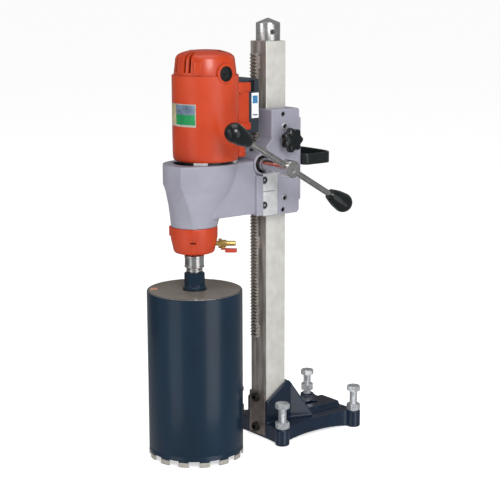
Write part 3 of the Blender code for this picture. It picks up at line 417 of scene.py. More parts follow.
casting = cut_plate("base_casting_painted", slab_line, 0.0, BASE_TOP)
moulded = [
    round_bar(f"boss_{name}", (x, y, 0.021), (0, 0, 1), BOSS_R, 0.042)
    for name, (x, y) in corner_spots.items()
]
moulded.append(
    cut_plate(
        "spine", [(-0.044, 0.030), (0.044, 0.030), (0.032, 0.051), (-0.032, 0.051)], BASE_TOP, BOSS_REAR + 0.002, "Y"
    )
)
SOCKET_HALF, SOCKET_FRONT = 0.037, -0.034
socket_side = [
    (SOCKET_FRONT, 0.010), (SOCKET_FRONT, 0.094), (0.020, 0.131), (0.030, 0.136), (0.040, 0.136), (0.047, 0.128),
    (0.047, 0.010),
]
moulded.append(cut_plate("socket", socket_side, -SOCKET_HALF, SOCKET_HALF, "X"))
for side in (-1, 1):
    web = cut_plate(
        "web", [(-0.003, 0.020), (-0.003, 0.128), (0.004, 0.126), (0.064, 0.036), (0.064, 0.020)],
        -0.0045, 0.0045, "Y",
    )
    towards = math.atan2(BOSS_REAR - 0.044, side * (BOSS_X - 0.033))
    moulded.append(settled(web, Matrix.Translation((side * 0.033, 0.044, 0)) @ Matrix.Rotation(towards, 4, "Z")))
    # A narrow raised border runs up the sloping edge of each socket wall.
    border = cut_plate(
        "border", [(-0.0340, 0.010), (-0.0340, 0.094), (0.020, 0.131), (0.024, 0.1255), (-0.0285, 0.0905),
                   (-0.0285, 0.010)],
        side * SOCKET_HALF - 0.0015, side * SOCKET_HALF + 0.0015, "X",
    )
    moulded.append(border)
joined(casting, *moulded)
cast_skin(casting, 0.0017, 2, 1)

# The hollow underside, the arches between the feet, the column's seat, the anchor slot and the screw holes.
arch_half = half_run - BOSS_R
arch_rise = 0.007
arch_radius = (arch_half**2 + arch_rise**2) / (2 * arch_rise)
openings = [
    block("hollow", (-0.060, 0.056, -0.01), (0.060, 0.196, 0.026)),
    block("seat", (-0.0303, -0.060, 0.006), (0.0303, 0.0303, 0.2)),
    block("slot", (-0.009, 0.120, 0.0), (0.009, 0.160, 0.1), 0.0085, 6),
]
for side in (-1, 1):
    openings.append(
        round_bar("arch", (side * 0.13, mid_y, arch_rise - arch_radius), (1, 0, 0), arch_radius, 0.14, sides=256)
    )
for name, (x, y) in corner_spots.items():
    openings.append(round_bar("hole", (x, y, 0.03), (0, 0, 1), 0.0103, 0.1, sides=40))
carved(casting, *openings)
cast_skin(casting, 0.0015, 3, 0.4)
fitted(casting, "stand", navy_enamel, "navy_paint", "base_casting", sharp=60)

# ================================================================ levelling screws
# Four M20 set screws with hexagon heads and lock nuts, zinc plated.  They pass through the corner bosses and
# stand the base off rough ground.  Real thread is 2.5 mm pitch, and so is this.


def machined(name, colour, deep, gloss, line, run, depth, across=(1, 1, 1), metallic=1.0, stain=None, front=None):
    """Bare metal.  Colour drifts over run mm; tool marks are line mm wide, stretched along the axes where across
    is small; stain is a speckled tarnish, and front is a darker colour, a painted reflection, laid in streaks on faces
    that look towards -Y."""
    made, tree, output = new_material(name)
    place = add_node(tree, "ShaderNodeTexCoord").outputs["Object"]
    blotch = add_node(
        tree, "ShaderNodeTexNoise", {"Vector": place, "Scale": 1000 / run, "Detail": 5.0, "Roughness": 0.62}
    ).outputs["Fac"]
    spread = add_node(
        tree, "ShaderNodeMapRange", {"Value": blotch, "From Min": 0.34, "From Max": 0.66}
    ).outputs["Result"]
    skin = add_node(
        tree, "ShaderNodeMix", {0: spread, 6: linear(deep), 7: linear(colour)}, data_type="RGBA"
    ).outputs[2]
    if stain:
        speck = add_node(
            tree, "ShaderNodeTexNoise", {"Vector": place, "Scale": 4000 / run, "Detail": 6.0, "Roughness": 0.7}
        ).outputs["Fac"]
        speck = add_node(
            tree, "ShaderNodeMapRange", {"Value": speck, "From Min": 0.56, "From Max": 0.72, "To Max": 0.6}
        ).outputs["Result"]
        skin = add_node(
            tree, "ShaderNodeMix", {0: speck, 6: skin, 7: linear(stain)}, data_type="RGBA"
        ).outputs[2]
    # Painted reflection: faces turned towards -Y are darkened in streaks with the front colour.
    if front:
        way = add_node(tree, "ShaderNodeNewGeometry").outputs["Normal"]
        way = add_node(tree, "ShaderNodeSeparateXYZ", {0: way}).outputs["Y"]
        reflection_streaks = add_node(tree, "ShaderNodeMapping", {"Vector": place, "Scale": (1, 1, 0.12)}).outputs[0]
        reflection_streaks = add_node(tree, "ShaderNodeTexNoise", {"Vector": reflection_streaks, "Scale": 90.0, "Detail": 3.0}).outputs["Fac"]
        reflection_streaks = add_node(
            tree, "ShaderNodeMapRange", {"Value": reflection_streaks, "From Min": 0.30, "From Max": 0.66, "To Min": 0.95,
                                         "To Max": 0.35}
        ).outputs["Result"]
        painted_reflection_mask = add_node(
            tree, "ShaderNodeMapRange", {"Value": way, "From Min": -0.5, "From Max": -0.9, "To Max": reflection_streaks}
        ).outputs["Result"]
        skin = add_node(tree, "ShaderNodeMix", {0: painted_reflection_mask, 6: skin, 7: linear(front)}, data_type="RGBA").outputs[2]
    stretched = add_node(tree, "ShaderNodeMapping", {"Vector": place, "Scale": across}).outputs[0]
    marks = add_node(
        tree, "ShaderNodeTexNoise", {"Vector": stretched, "Scale": 1000 / line, "Detail": 3.0}
    ).outputs["Fac"]
    sheen = add_node(
        tree, "ShaderNodeMapRange", {"Value": marks, "To Min": gloss[0], "To Max": gloss[1]}
    ).outputs["Result"]
    relief = add_node(
        tree, "ShaderNodeBump", {"Height": marks, "Strength": 1.0, "Distance": depth / 1000}
    ).outputs["Normal"]
    shader = add_node(
        tree, "ShaderNodeBsdfPrincipled",
        {"Base Color": skin, "Roughness": sheen, "Normal": relief, "Metallic": metallic},
    )
    tree.links.new(shader.outputs[0], output.inputs[0])
    return made


# Bright zinc plate on forged steel: pale, faintly blue, with a soft sparkle and dull handling marks.
zinc_plate = machined(
    "bright_zinc_plate_on_steel", "F0F1F3", "CDD2D6", (0.20, 0.34), 1.2, 9, 0.012, metallic=0.75
)

SCREW_PITCH = 0.0025


def turned(name, profile, place=(0, 0, 0), direction=(0, 0, 1), steps=72, closed=False):
    """A part turned on a lathe: a profile of (radius, height) points spun about its axis."""
    line = [(radius, 0, height) for radius, height in profile]
    piece = drawn(name, line + line[:1] if closed else line)
    bpy.ops.mesh.select_all(action="SELECT")
    bpy.ops.mesh.spin(steps=steps, angle=2 * math.pi, center=(0, 0, 0), axis=(0, 0, 1))
    tidy_skin(piece)
    return settled(piece, facing(direction, place) if tuple(direction) != (0, 0, 1) else Matrix.Translation(place))


def hexagon_head(name, across_flats, low, high, twist):
    """A hexagon with both ends' corners turned off, as forged heads and nuts have."""
    radius = across_flats / math.sqrt(3)
    piece = round_bar(name, (0, 0, (low + high) / 2), (0, 0, 1), radius, high - low, sides=6)
    settled(piece, Matrix.Rotation(twist, 4, "Z"))
    crown = across_flats / 2 + (radius - across_flats / 2) * 0.1
    dome = turned(
        "dome", [(0, low), (crown, low), (radius + 0.001, low + 0.0022), (radius + 0.001, high - 0.0022),
                 (crown, high), (0, high)],
    )
    return carved(piece, dome, operation="INTERSECT")


def threaded(top, bottom, radius, tip):
    """Profile of a threaded shank from the top down to a chamfered tip."""
    points, z = [(radius, top)], top - 0.004
    while z - SCREW_PITCH > bottom + tip:
        points += [(radius, z), (radius - 0.0011, z - SCREW_PITCH * 0.4), (radius - 0.0011, z - SCREW_PITCH * 0.55)]
        z -= SCREW_PITCH
    return points + [(radius, z), (radius, bottom + tip), (radius - tip, bottom), (0, bottom)]


screw = hexagon_head("levelling_screw", 0.030, 0.0920, 0.1050, 0.15)
shank = turned("shank", [(0, 0.0925)] + threaded(0.0925, 0.013, 0.0099, 0.0015), steps=40)
joined(screw, shank)
nut = hexagon_head("levelling_nut", 0.030, 0.0423, 0.0583, 0.3)
carved(nut, round_bar("bore", (0, 0, 0.05), (0, 0, 1), 0.0103, 0.06, sides=40))
for name, (x, y) in corner_spots.items():
    here = Matrix.Translation((x, y, 0.0))
    twist = {"front_left": 0.0, "front_right": 0.10, "rear_left": 0.45, "rear_right": -0.15}[name]
    own_screw = copied(screw, f"levelling_screw_{name}_zinc", here @ Matrix.Rotation(twist, 4, "Z"))
    fitted(own_screw, f"leveller_{name}", zinc_plate, "zinc_steel", f"levelling_screw_{name}", sharp=30)
    lift = 0.009 if name == "rear_left" else 0.0
    own_nut = copied(
        nut, f"levelling_nut_{name}_zinc", here @ Matrix.Translation((0, 0, lift)) @ Matrix.Rotation(-twist, 4, "Z")
    )
    fitted(own_nut, "stand", zinc_plate, "zinc_steel", f"levelling_nut_{name}", sharp=30)
for master in (screw, nut):
    bpy.data.objects.remove(master)

# ================================================================ column
# A square steel tube, 60 mm with 5 mm walls, ground and plated so that the carriage slides on it.  Its sides
# show faint grinding marks and a cloudy plating; the drilled clamp plate on its foot is dark mill steel.

COLUMN_FOOT, COLUMN_TOP = 0.0063, 0.964


def rounded_square(half, radius):
    """Points round a square with rounded corners."""
    points, per_corner = [], 6
    for quarter in range(4):
        for i in range(per_corner + 1):
            angle = math.radians(90 * (quarter + i / per_corner))
            centre = (half - radius) * Vector((1 if quarter in (0, 3) else -1, 1 if quarter < 2 else -1))
            points.append((centre.x + radius * math.cos(angle), centre.y + radius * math.sin(angle)))
    return points


# Plated ground steel: warm pale grey, cloudy in patches, with fine lines along the column's length; its faces towards
# -Y are darkened in streaks as a painted reflection.
column_plate = machined(
    "plated_ground_steel", "DDDCD7", "CCCAC3", (0.38, 0.55), 1.6, 30, 0.02, across=(1, 1, 0.04), metallic=0.45,
    stain="A39F94", front="7A6E68",
)
tube = cut_plate("column_tube", rounded_square(0.030, 0.0032), COLUMN_FOOT, COLUMN_TOP)
carved(tube, cut_plate("tube_inside", rounded_square(0.025, 0.002), 0.0, 1.0))
fitted(tube, "stand", column_plate, "column_steel", "column", sharp=30)

# Mill scale over steel: brown-grey, oily, scuffed paler where boots and clamps rub it.
mill_steel = machined(
    "oiled_mill_scale_steel", "8B807B", "665C57", (0.30, 0.48), 2.2, 22, 0.02, across=(1, 1, 0.15), metallic=0.5,
    stain="4C4440",
)
clamp_plate = block("clamp_plate", (-0.0297, -0.0353, COLUMN_FOOT), (0.0297, -0.0303, 0.112), 0.0012)
fitted(clamp_plate, "stand", mill_steel, "rack_steel", "column_clamp_plate")

# Black-oxide steel: nearly black, satin, with a faint brown bloom.
black_oxide = coated(
    "black_oxide_steel", "23211F", "141312", (0.34, 0.50), 8, 0.7, 0.02, worn="55504B", metallic=0.6
)


def socket_head(name, place, direction, radius, height, socket, shank_radius=0.0, shank=0.0):
    """A round-headed screw with a hexagon socket, its head standing up from place."""
    piece = turned(
        name, [(0, 0), (radius, 0), (radius, height - 0.0012), (radius - 0.0012, height), (0, height)], steps=40
    )
    key = round_bar("key", (0, 0, height), (0, 0, 1), socket, height * 1.2, sides=6)
    carved(piece, key)
    if shank:
        joined(piece, round_bar("shank", (0, 0, 0.0001 - shank / 2), (0, 0, 1), shank_radius, shank, sides=24))
    return settled(piece, facing(direction, place))


for level, height in (("lower", 0.0245), ("upper", 0.1005)):
    bolt = socket_head(
        f"clamp_bolt_{level}_black", (0, -0.0356, height), (0, -1, 0), 0.0115, 0.0090, 0.0058, 0.0058, 0.012
    )
    fitted(bolt, "stand", black_oxide, "black_steel", f"clamp_bolt_{level}", sharp=30)

# ================================================================ rack
# A flat toothed bar, 2.5 module, held off the column's front face by four welded spacer blocks.  Its teeth are
# milled.  It has one tooth more than the rack in the frame, so its top end stands 6.8 mm higher.

RACK_PITCH, RACK_BOTTOM, RACK_TEETH = math.pi * 0.0025, 0.2535, 87
# Greased milled steel: greyish brown, marked across the teeth and speckled darker.
rack_steel = machined(
    "milled_rack_steel_greased", "BDB6AE", "8F867E", (0.30, 0.50), 1.0, 7, 0.03, across=(0.1, 1, 1), metallic=0.6,
    stain="4A413A",
)
half_tooth = RACK_PITCH / 2
tooth_line = [
    (-0.0370, 0.0), (-0.0370, RACK_PITCH), (-0.0415, RACK_PITCH), (-0.0418, RACK_PITCH - 0.0008),
    (-0.0466, half_tooth + 0.0012), (-0.0470, half_tooth + 0.0008), (-0.0470, half_tooth - 0.0008),
    (-0.0466, half_tooth - 0.0012), (-0.0418, 0.0008), (-0.0415, 0.0),
]
rack = cut_plate("rack_bar", tooth_line, -0.010, 0.010, "X")
on_bench(rack)
pick("FACE", lambda at, normal: abs(normal.z) > 0.99 and abs(at.y + 0.0393) < 0.002)
bpy.ops.mesh.delete(type="FACE")
bpy.ops.object.mode_set(mode="OBJECT")
with_modifier(
    rack, "ARRAY", count=RACK_TEETH, use_relative_offset=False, use_constant_offset=True,
    constant_offset_displace=(0, 0, RACK_PITCH), use_merge_vertices=True, merge_threshold=1e-5,
)
on_bench(rack)
for end in (0.0, RACK_TEETH * RACK_PITCH):
    pick("EDGE", lambda at, along: abs(at.z - end) < 1e-5)
    bpy.ops.mesh.edge_face_add()
tidy_skin(rack)
settled(rack, Matrix.Translation((0, 0, RACK_BOTTOM)))
for height in (0.268, 0.487, 0.706, 0.915):
    joined(rack, block("spacer", (-0.009, -0.0385, height - 0.015), (0.009, -0.0303, height + 0.015), 0.001))
fitted(rack, "stand", rack_steel, "rack_steel", "rack", sharp=20)

# ================================================================ column head and jack screw
# A threaded block closes the column's top.  The jack screw in it is turned bright steel: its cone is run up
# against a ceiling with a bar through the cross hole.

# Turned and polished steel: nearly mirror, ringed by fine tool marks.
turned_steel = machined(
    "turned_polished_steel", "E8E7E5", "CAC8C6", (0.20, 0.28), 0.8, 12, 0.003, across=(0.1, 0.1, 1)
)
head_nut = block("head_nut", (-0.0245, -0.0245, 0.934), (0.0245, 0.0245, 0.9638), 0.0015)
carved(head_nut, round_bar("bore", (0, 0, 0.95), (0, 0, 1), 0.0153, 0.1))
fitted(head_nut, "stand", zinc_plate, "zinc_steel", "column_head_nut")
jack = turned(
    "jack_screw_turned",
    [(0, 1.0168), (0.002, 1.0166), (0.0262, 1.0068), (0.0278, 1.0056), (0.0284, 1.0040), (0.0284, 0.9655),
     (0.0272, 0.9643)] + threaded(0.9643, 0.838, 0.0149, 0.002),
    steps=96,
)
carved(jack, round_bar("cross_hole", (0, 0, 0.985), (0.954, -0.299, 0), 0.0060, 0.08, sides=40))
fitted(jack, "jack", turned_steel, "bright_steel", "jack_screw", sharp=30)

# ================================================================ carriage
# The sliding box is an aluminium casting, painted silver grey with a hint of violet, that wraps the column.
# Its front flange and the pads beside it are machined bright; adjuster screws press plastic guide pads.

# Satin paint on sand-cast aluminium: fine tight grain, soft highlights, colour nearly even.
grey_paint = coated(
    "silver_grey_paint_on_cast_aluminium", "8F8E9B", "898895", (0.30, 0.40), 50, 1.6, 0.030, worn="BDBDC6", coat=0.1
)
# Face-milled aluminium: white metal with arcs of tool marks.
milled_aluminium = machined(
    "face_milled_aluminium", "E9EAEB", "D6D7D9", (0.30, 0.46), 1.4, 14, 0.010, across=(1, 0.15, 1), metallic=0.55
)
FEED_Y, FEED_Z = -0.062, 0.684
LOCK_Y, LOCK_Z = 0.003, 0.738
carriage_side = [
    (-0.0657, 0.563), (-0.0657, 0.661), (-0.0540, 0.669), (-0.0540, 0.724), (-0.0386, 0.740), (-0.0386, 0.807),
    (-0.0366, 0.809), (0.041, 0.809), (0.045, 0.805), (0.045, 0.566), (0.039, 0.560), (-0.056, 0.560),
]
carriage = cut_plate("carriage_casting_painted", carriage_side, -0.062, 0.062, "X")
joined(
    carriage,
    block("back_pad", (-0.062, 0.040, 0.590), (0.062, 0.051, 0.787), 0.003),
    round_bar("feed_boss", (0, FEED_Y, FEED_Z), (1, 0, 0), 0.026, 0.116, sides=96),
)
cast_skin(carriage, 0.0015, 4, 0.6)
carved(
    carriage,
    block("channel", (-0.0327, -0.0315, 0.5), (0.0327, 0.0315, 0.9)),
    block("rack_gap", (-0.0125, -0.08, 0.5), (0.0125, -0.02, 0.9)),
)
adjusters = ((-0.005, 0.7973), (-0.0005, 0.768), (-0.0005, 0.599), (-0.005, 0.5715))
tools = [round_bar("feed_bore", (0, FEED_Y, FEED_Z), (1, 0, 0), 0.0205, 0.14, sides=96)]
for side in (-1, 1):
    for y, z in adjusters:
        tools.append(round_bar("adjuster_hole", (side * 0.05, y, z), (1, 0, 0), 0.0053, 0.05, sides=32))
tools.append(round_bar("lock_hole", (0.05, LOCK_Y, LOCK_Z), (1, 0, 0), 0.0063, 0.05, sides=32))
carved(carriage, *tools)
fitted(carriage, "carriage", grey_paint, "grey_casting", "carriage_casting", sharp=50)

# Milled cheek beside the flange on each side, with a groove across it and two part-hidden bolt pockets.
for side, label in ((1, "right"), (-1, "left")):
    low_x, high_x = sorted((side * 0.0608, side * 0.0628))
    cheek = block(f"carriage_cheek_{label}_milled", (low_x, -0.0650, 0.5625), (high_x, -0.0215, 0.6615), 0.0007)
    carved(cheek, block("groove", (-0.07, -0.066, 0.6185), (0.07, -0.030, 0.6210), 0.001, 2))
    for z in (0.5875, 0.6465):
        carved(cheek, round_bar("pocket", (side * 0.063, -0.0610, z), (1, 0, 0), 0.0098, 0.02, sides=48))
    fitted(cheek, "carriage", milled_aluminium, "grey_casting", sharp=30)
    for i, z in enumerate((0.5875, 0.6465)):
        bolt = socket_head(
            f"flange_bolt_{label}_{i + 1}", (side * 0.0600, -0.0600, z), (side, 0, 0), 0.0078, 0.0034, 0.0036
        )
        fitted(bolt, "carriage", black_oxide, "black_steel", sharp=30)

# Four adjuster screws on the right; the two inner ones have the larger, plated lock nuts.
for i, (y, z) in enumerate(adjusters):
    tip = turned(
        f"adjuster_screw_{i + 1}_black",
        [(0, 0.0325), (0.0038, 0.0325), (0.0048, 0.0345), (0.0048, 0.0610), (0.0042, 0.0618), (0, 0.0618)],
        steps=32,
    )
    settled(tip, facing((1, 0, 0), (0, y, z)))
    carved(tip, round_bar("key", (0.0618, y, z), (1, 0, 0), 0.0028, 0.008, sides=6))
    fitted(tip, "carriage", black_oxide, "black_steel", f"adjuster_screw_{i + 1}", sharp=30)
    rim, low, high = (0.0086, 0.0030, 0.0038) if i in (1, 2) else (0.0066, 0.0012, 0.0020)
    collar = turned(
        f"adjuster_nut_{i + 1}",
        [(0.0054, 0), (rim, 0), (rim, low), (rim - 0.0008, high), (0.0060, high), (0.0054, 0.0010)],
        (0.0612, y, z), (1, 0, 0), steps=48, closed=True,
    )
    fitted(collar, "carriage", zinc_plate if i in (1, 2) else grey_paint, "zinc_steel", sharp=30)

# Guide pads: dark nylon strips between the casting and the column, the right one pierced for the lock plunger.
guide_nylon = coated("machined_black_nylon", "26272A", "1B1C1F", (0.45, 0.60), 12, 0.9, 0.03)
for side, label in ((-1, "left"), (1, "right")):
    low_x, high_x = sorted((side * 0.0303, side * 0.0324))
    pad = block(f"guide_pad_{label}_nylon", (low_x, -0.027, 0.565), (high_x, 0.027, 0.804), 0.0006)
    if label == "right":
        carved(pad, round_bar("plunger_way", (high_x, LOCK_Y, LOCK_Z), (1, 0, 0), 0.0066, 0.03, sides=48))
    fitted(pad, "carriage", guide_nylon, "black_plastic", f"guide_pad_{label}")

# Bronze bushes line the feed bore, with an oily brown bloom.
bush_bronze = machined(
    "oiled_sintered_bronze", "5A4630", "3A2C1C", (0.34, 0.5), 0.8, 5, 0.02, across=(1, 0.1, 0.1)
)
for side, label in ((-1, "left"), (1, "right")):
    bush = turned(
        f"feed_bush_{label}_bronze",
        [(0.0104, 0.0128), (0.0202, 0.0128), (0.0202, 0.0452), (0.0194, 0.0460), (0.0112, 0.0460), (0.0104, 0.0452)],
        (0, FEED_Y, FEED_Z), (side, 0, 0), closed=True,
    )
    fitted(bush, "carriage", bush_bronze, "bronze", f"feed_bush_{label}")

# ================================================================ rear handle
# A flat steel strap bent into a carrying loop behind the carriage and dipped in black plastic, which rounds its
# edges and hangs slightly uneven.

# Vinyl dip coat: black with a green cast, half glossy, softly pitted.
dipped_vinyl = coated("dipped_black_vinyl", "151C1D", "0C1112", (0.24, 0.40), 14, 1.4, 0.05, coat=0.15)
strap_centre = [(0.0362, 0.0543), (0.0650, 0.0543)]
strap_centre += [
    (0.0650 + 0.0090 * math.sin(math.radians(a)), 0.0633 - 0.0090 * math.cos(math.radians(a)))
    for a in range(15, 91, 15)
]
strap_centre += [(0.0740, 0.090), (0.0740, 0.1165)]
strap_centre += [
    (0.0740 * math.cos(math.radians(a)) ** 0.55, 0.1180 + 0.0240 * math.sin(math.radians(a))) for a in range(8, 89, 8)
]
strap_centre += [(0.0, 0.1420)]
strap_centre += [(-x, y) for x, y in reversed(strap_centre[:-1])]
handle = drawn("rear_handle_dipped", [(x, y, 0.6733) for x, y in strap_centre])
bpy.ops.mesh.select_all(action="SELECT")
bpy.ops.mesh.extrude_edges_move(TRANSFORM_OT_translate={"value": (0, 0, 0.0264)})
bpy.ops.object.mode_set(mode="OBJECT")
with_modifier(handle, "SOLIDIFY", thickness=0.0052, offset=0.0)
on_bench(handle)
bpy.ops.mesh.select_all(action="SELECT")
bpy.ops.mesh.normals_make_consistent(inside=False)
bpy.ops.object.mode_set(mode="OBJECT")
with_modifier(handle, "BEVEL", width=0.0018, segments=3, limit_method="ANGLE", angle_limit=math.radians(50))
fitted(handle, "carriage", dipped_vinyl, "black_plastic", "rear_handle", sharp=50)
for side, label in ((1, "right"), (-1, "left")):
    low_x, high_x = sorted((side * 0.0330, side * 0.0560))
    foot = block(f"handle_foot_{label}", (low_x, 0.0510, 0.6765), (high_x, 0.0515, 0.6965), 0.0002, 1)
    fitted(foot, "carriage", dipped_vinyl, "black_plastic", sharp=50)
    screw_head = socket_head(
        f"handle_screw_{label}", (side * 0.0480, 0.0569, 0.6865), (0, 1, 0), 0.0060, 0.0040, 0.0027
    )
    fitted(screw_head, "carriage", black_oxide, "black_steel", sharp=30)

# ================================================================ feed shaft and its crossbar
# The carriage is wound along the rack by a bright steel shaft whose hub carries a crossbar: two polished rods
# screwed in from either side, each with a moulded black grip.

# Drawn and polished steel: a clear mirror with long faint scratches.
polished_rod = machined(
    "drawn_polished_steel", "D8D6D3", "BDBAB7", (0.20, 0.26), 0.9, 22, 0.001, across=(0.25, 0.25, 0.25)
)
FEED_X = 0.159
feed_shaft = turned(
    "feed_shaft_bright",
    [(0, -0.0675), (0.0172, -0.0675), (0.0180, -0.0668), (0.0180, -0.0602), (0.0172, -0.0595), (0.0100, -0.0595),
     (0.0100, 0.0565), (0.0144, 0.0565), (0.0150, 0.0571), (0.0150, 0.1160), (0.0146, 0.1164), (0.0146, 0.1180),
     (0.0150, 0.1184), (0.0150, 0.1395), (0, 0.1395)],
)
settled(feed_shaft, facing((1, 0, 0), (0, FEED_Y, FEED_Z)))
fitted(feed_shaft, "feed", turned_steel, "bright_steel", "feed_shaft", sharp=30)
feed_hub = turned(
    "feed_hub_bright",
    [(0, 0.1396), (0.0184, 0.1396), (0.0200, 0.1412), (0.0200, 0.1684), (0.0184, 0.1700), (0.0070, 0.1700),
     (0.0062, 0.1690), (0, 0.1690)],
    steps=96,
)
settled(feed_hub, facing((1, 0, 0), (0, FEED_Y, FEED_Z)))
ARM_ANGLE = math.radians(30.5)
hub_centre = Vector((FEED_X, FEED_Y, FEED_Z))
arm_line = Vector((0, -math.cos(ARM_ANGLE), math.sin(ARM_ANGLE)))
for way in (1, -1):
    carved(feed_hub, round_bar("rod_hole", hub_centre + arm_line * way * 0.0235, arm_line * way, 0.0073, 0.030))
fitted(feed_hub, "feed", turned_steel, "bright_steel", "feed_hub", sharp=30)

# Glossy phenolic grips: black with a green tint, small ripples, scuffed dull in patches.
grip_phenolic = coated("moulded_black_phenolic", "0B1315", "070C0D", (0.18, 0.32), 16, 2.2, 0.03, coat=0.15)
rod = turned(
    "feed_rod", [(0, 0.009), (0.0064, 0.009), (0.0070, 0.0096), (0.0070, 0.1534), (0.0064, 0.1540), (0, 0.1540)],
    steps=48,
)
knob_line = [(0, 0.1362), (0.0118, 0.1362), (0.0130, 0.1374), (0.0150, 0.1440)]
knob_line += [(0.0150 + 0.0066 * math.sin(math.radians(a)), 0.1440 + 0.0330 * a / 90) for a in range(15, 76, 15)]
knob_line += [
    (0.0230 * math.cos(math.radians(a)), 0.1850 + 0.0230 * math.sin(math.radians(a))) for a in range(-14, 90, 8)
]
knob_line += [(0, 0.2080)]
knob = turned("feed_knob", knob_line, steps=64)
carved(knob, round_bar("rod_hole", (0, 0, 0.141), (0, 0, 1), 0.0073, 0.028))
for way, label in ((1, "front"), (-1, "rear")):
    stand_up = facing(arm_line * way, hub_centre)
    fitted(copied(rod, f"feed_rod_{label}_polished", stand_up), "feed", polished_rod, "bright_steel",
           f"feed_rod_{label}", sharp=30)
    fitted(copied(knob, f"feed_knob_{label}_moulded", stand_up), "feed", grip_phenolic, "black_plastic",
           f"feed_knob_{label}", sharp=40)
for master in (rod, knob):
    bpy.data.objects.remove(master)

# ================================================================ carriage lock
# A seven-lobed moulded knob on a brass-collared stud.  Turning it drives a brass plunger onto the column.

lobe_line = []
for i in range(112):
    angle = 2 * math.pi * i / 112
    radius = 0.0268 + 0.0027 * math.cos(7 * angle)
    lobe_line.append((radius * math.cos(angle), radius * math.sin(angle)))
lock_knob = cut_plate("lock_knob_moulded", lobe_line, 0.0800, 0.0806)
on_bench(lock_knob)
pick("FACE", lambda at, normal: normal.z > 0.9)
height = 0.0806
for rise, scale in (
    (0.0010, 1.0), (0.0068, 1.0), (0.0026, 0.988), (0.0020, 0.960), (0.0016, 0.915), (0.0011, 0.85), (0.0008, 0.76),
    (0.0005, 0.62), (0.0002, 0.40),
):
    bpy.ops.mesh.extrude_region_move(TRANSFORM_OT_translate={"value": (0, 0, rise)})
    height += rise
    bpy.ops.transform.resize(value=(scale, scale, 1), center_override=(0, 0, height))
pick("FACE", lambda at, normal: normal.z < -0.9 and at.z < 0.0801)
bpy.ops.transform.resize(value=(0.93, 0.93, 1), center_override=(0, 0, 0.0800))
bpy.ops.object.mode_set(mode="OBJECT")
hub = turned("knob_hub", [(0, 0.0720), (0.0095, 0.0720), (0.0110, 0.0732), (0.0110, 0.0801), (0, 0.0801)])
joined(lock_knob, hub)
settled(lock_knob, facing((1, 0, 0), (0, LOCK_Y, LOCK_Z)))
fitted(lock_knob, "lock", grip_phenolic, "black_plastic", "lock_knob", sharp=50)

# Yellow brass, turned: fine rings and a dulled, browned surface.
turned_brass = machined("turned_yellow_brass", "DFC07A", "B9974F", (0.22, 0.36), 0.7, 6, 0.006, metallic=0.8)
stud = turned(
    "lock_stud_brass",
    [(0, 0.0392), (0.0052, 0.0392), (0.0060, 0.0400), (0.0060, 0.0632), (0.0088, 0.0632), (0.0092, 0.0638),
     (0.0092, 0.0690), (0.0086, 0.0698), (0.0070, 0.0698), (0.0070, 0.0722), (0, 0.0722)],
    steps=56,
)
settled(stud, facing((1, 0, 0), (0, LOCK_Y, LOCK_Z)))
fitted(stud, "lock", turned_brass, "brass", sharp=30)
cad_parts["lock_plunger"].material_slots[0].material = turned_brass

# ================================================================ drill bracket
# The gearbox housing and arm are one aluminium casting in the carriage's paint: a round collar that the motor
# stands on, a cone down to the nose, and a square arm back to the bolted flange.

SPINDLE_Y, MOTOR_Y = -0.219, -0.183
LAYSHAFT_X, LAYSHAFT_Y = 0.02697, -0.19295


def about(y, angle):
    """The turn about the upright axis that stands at x 0 and that y."""
    return Matrix.Translation((0, y, 0)) @ Matrix.Rotation(angle, 4, "Z")


def hull_of(name, *discs):
    """The tight skin round several upright discs, each given as (x, y, z, radius)."""
    rings = []
    for x, y, z, radius in discs:
        clear_selection()
        bpy.ops.mesh.primitive_circle_add(vertices=96, radius=radius, location=(x, y, z))
        rings.append(settled(bpy.context.object))
    piece = joined(*rings)
    piece.name = name
    on_bench(piece)
    bpy.ops.mesh.select_all(action="SELECT")
    bpy.ops.mesh.convex_hull()
    return tidy_skin(piece)


# Each level: height, radius of the front disc, radius and y of the rear disc, and the direction in degrees in
# which the corner stands and how far it stands proud.
levels = [
    (0.549, 0.0530, 0.0530, -0.218, -37, 0.0020), (0.572, 0.0550, 0.0560, -0.213, -40, 0.0064),
    (0.600, 0.0585, 0.0600, -0.205, -44, 0.0090), (0.632, 0.0645, 0.0690, -0.196, -52, 0.0100),
    (0.6475, 0.0700, 0.0720, -0.192, -57, 0.0075), (0.694, 0.0700, 0.0765, -0.183, -57, 0.0070),
]
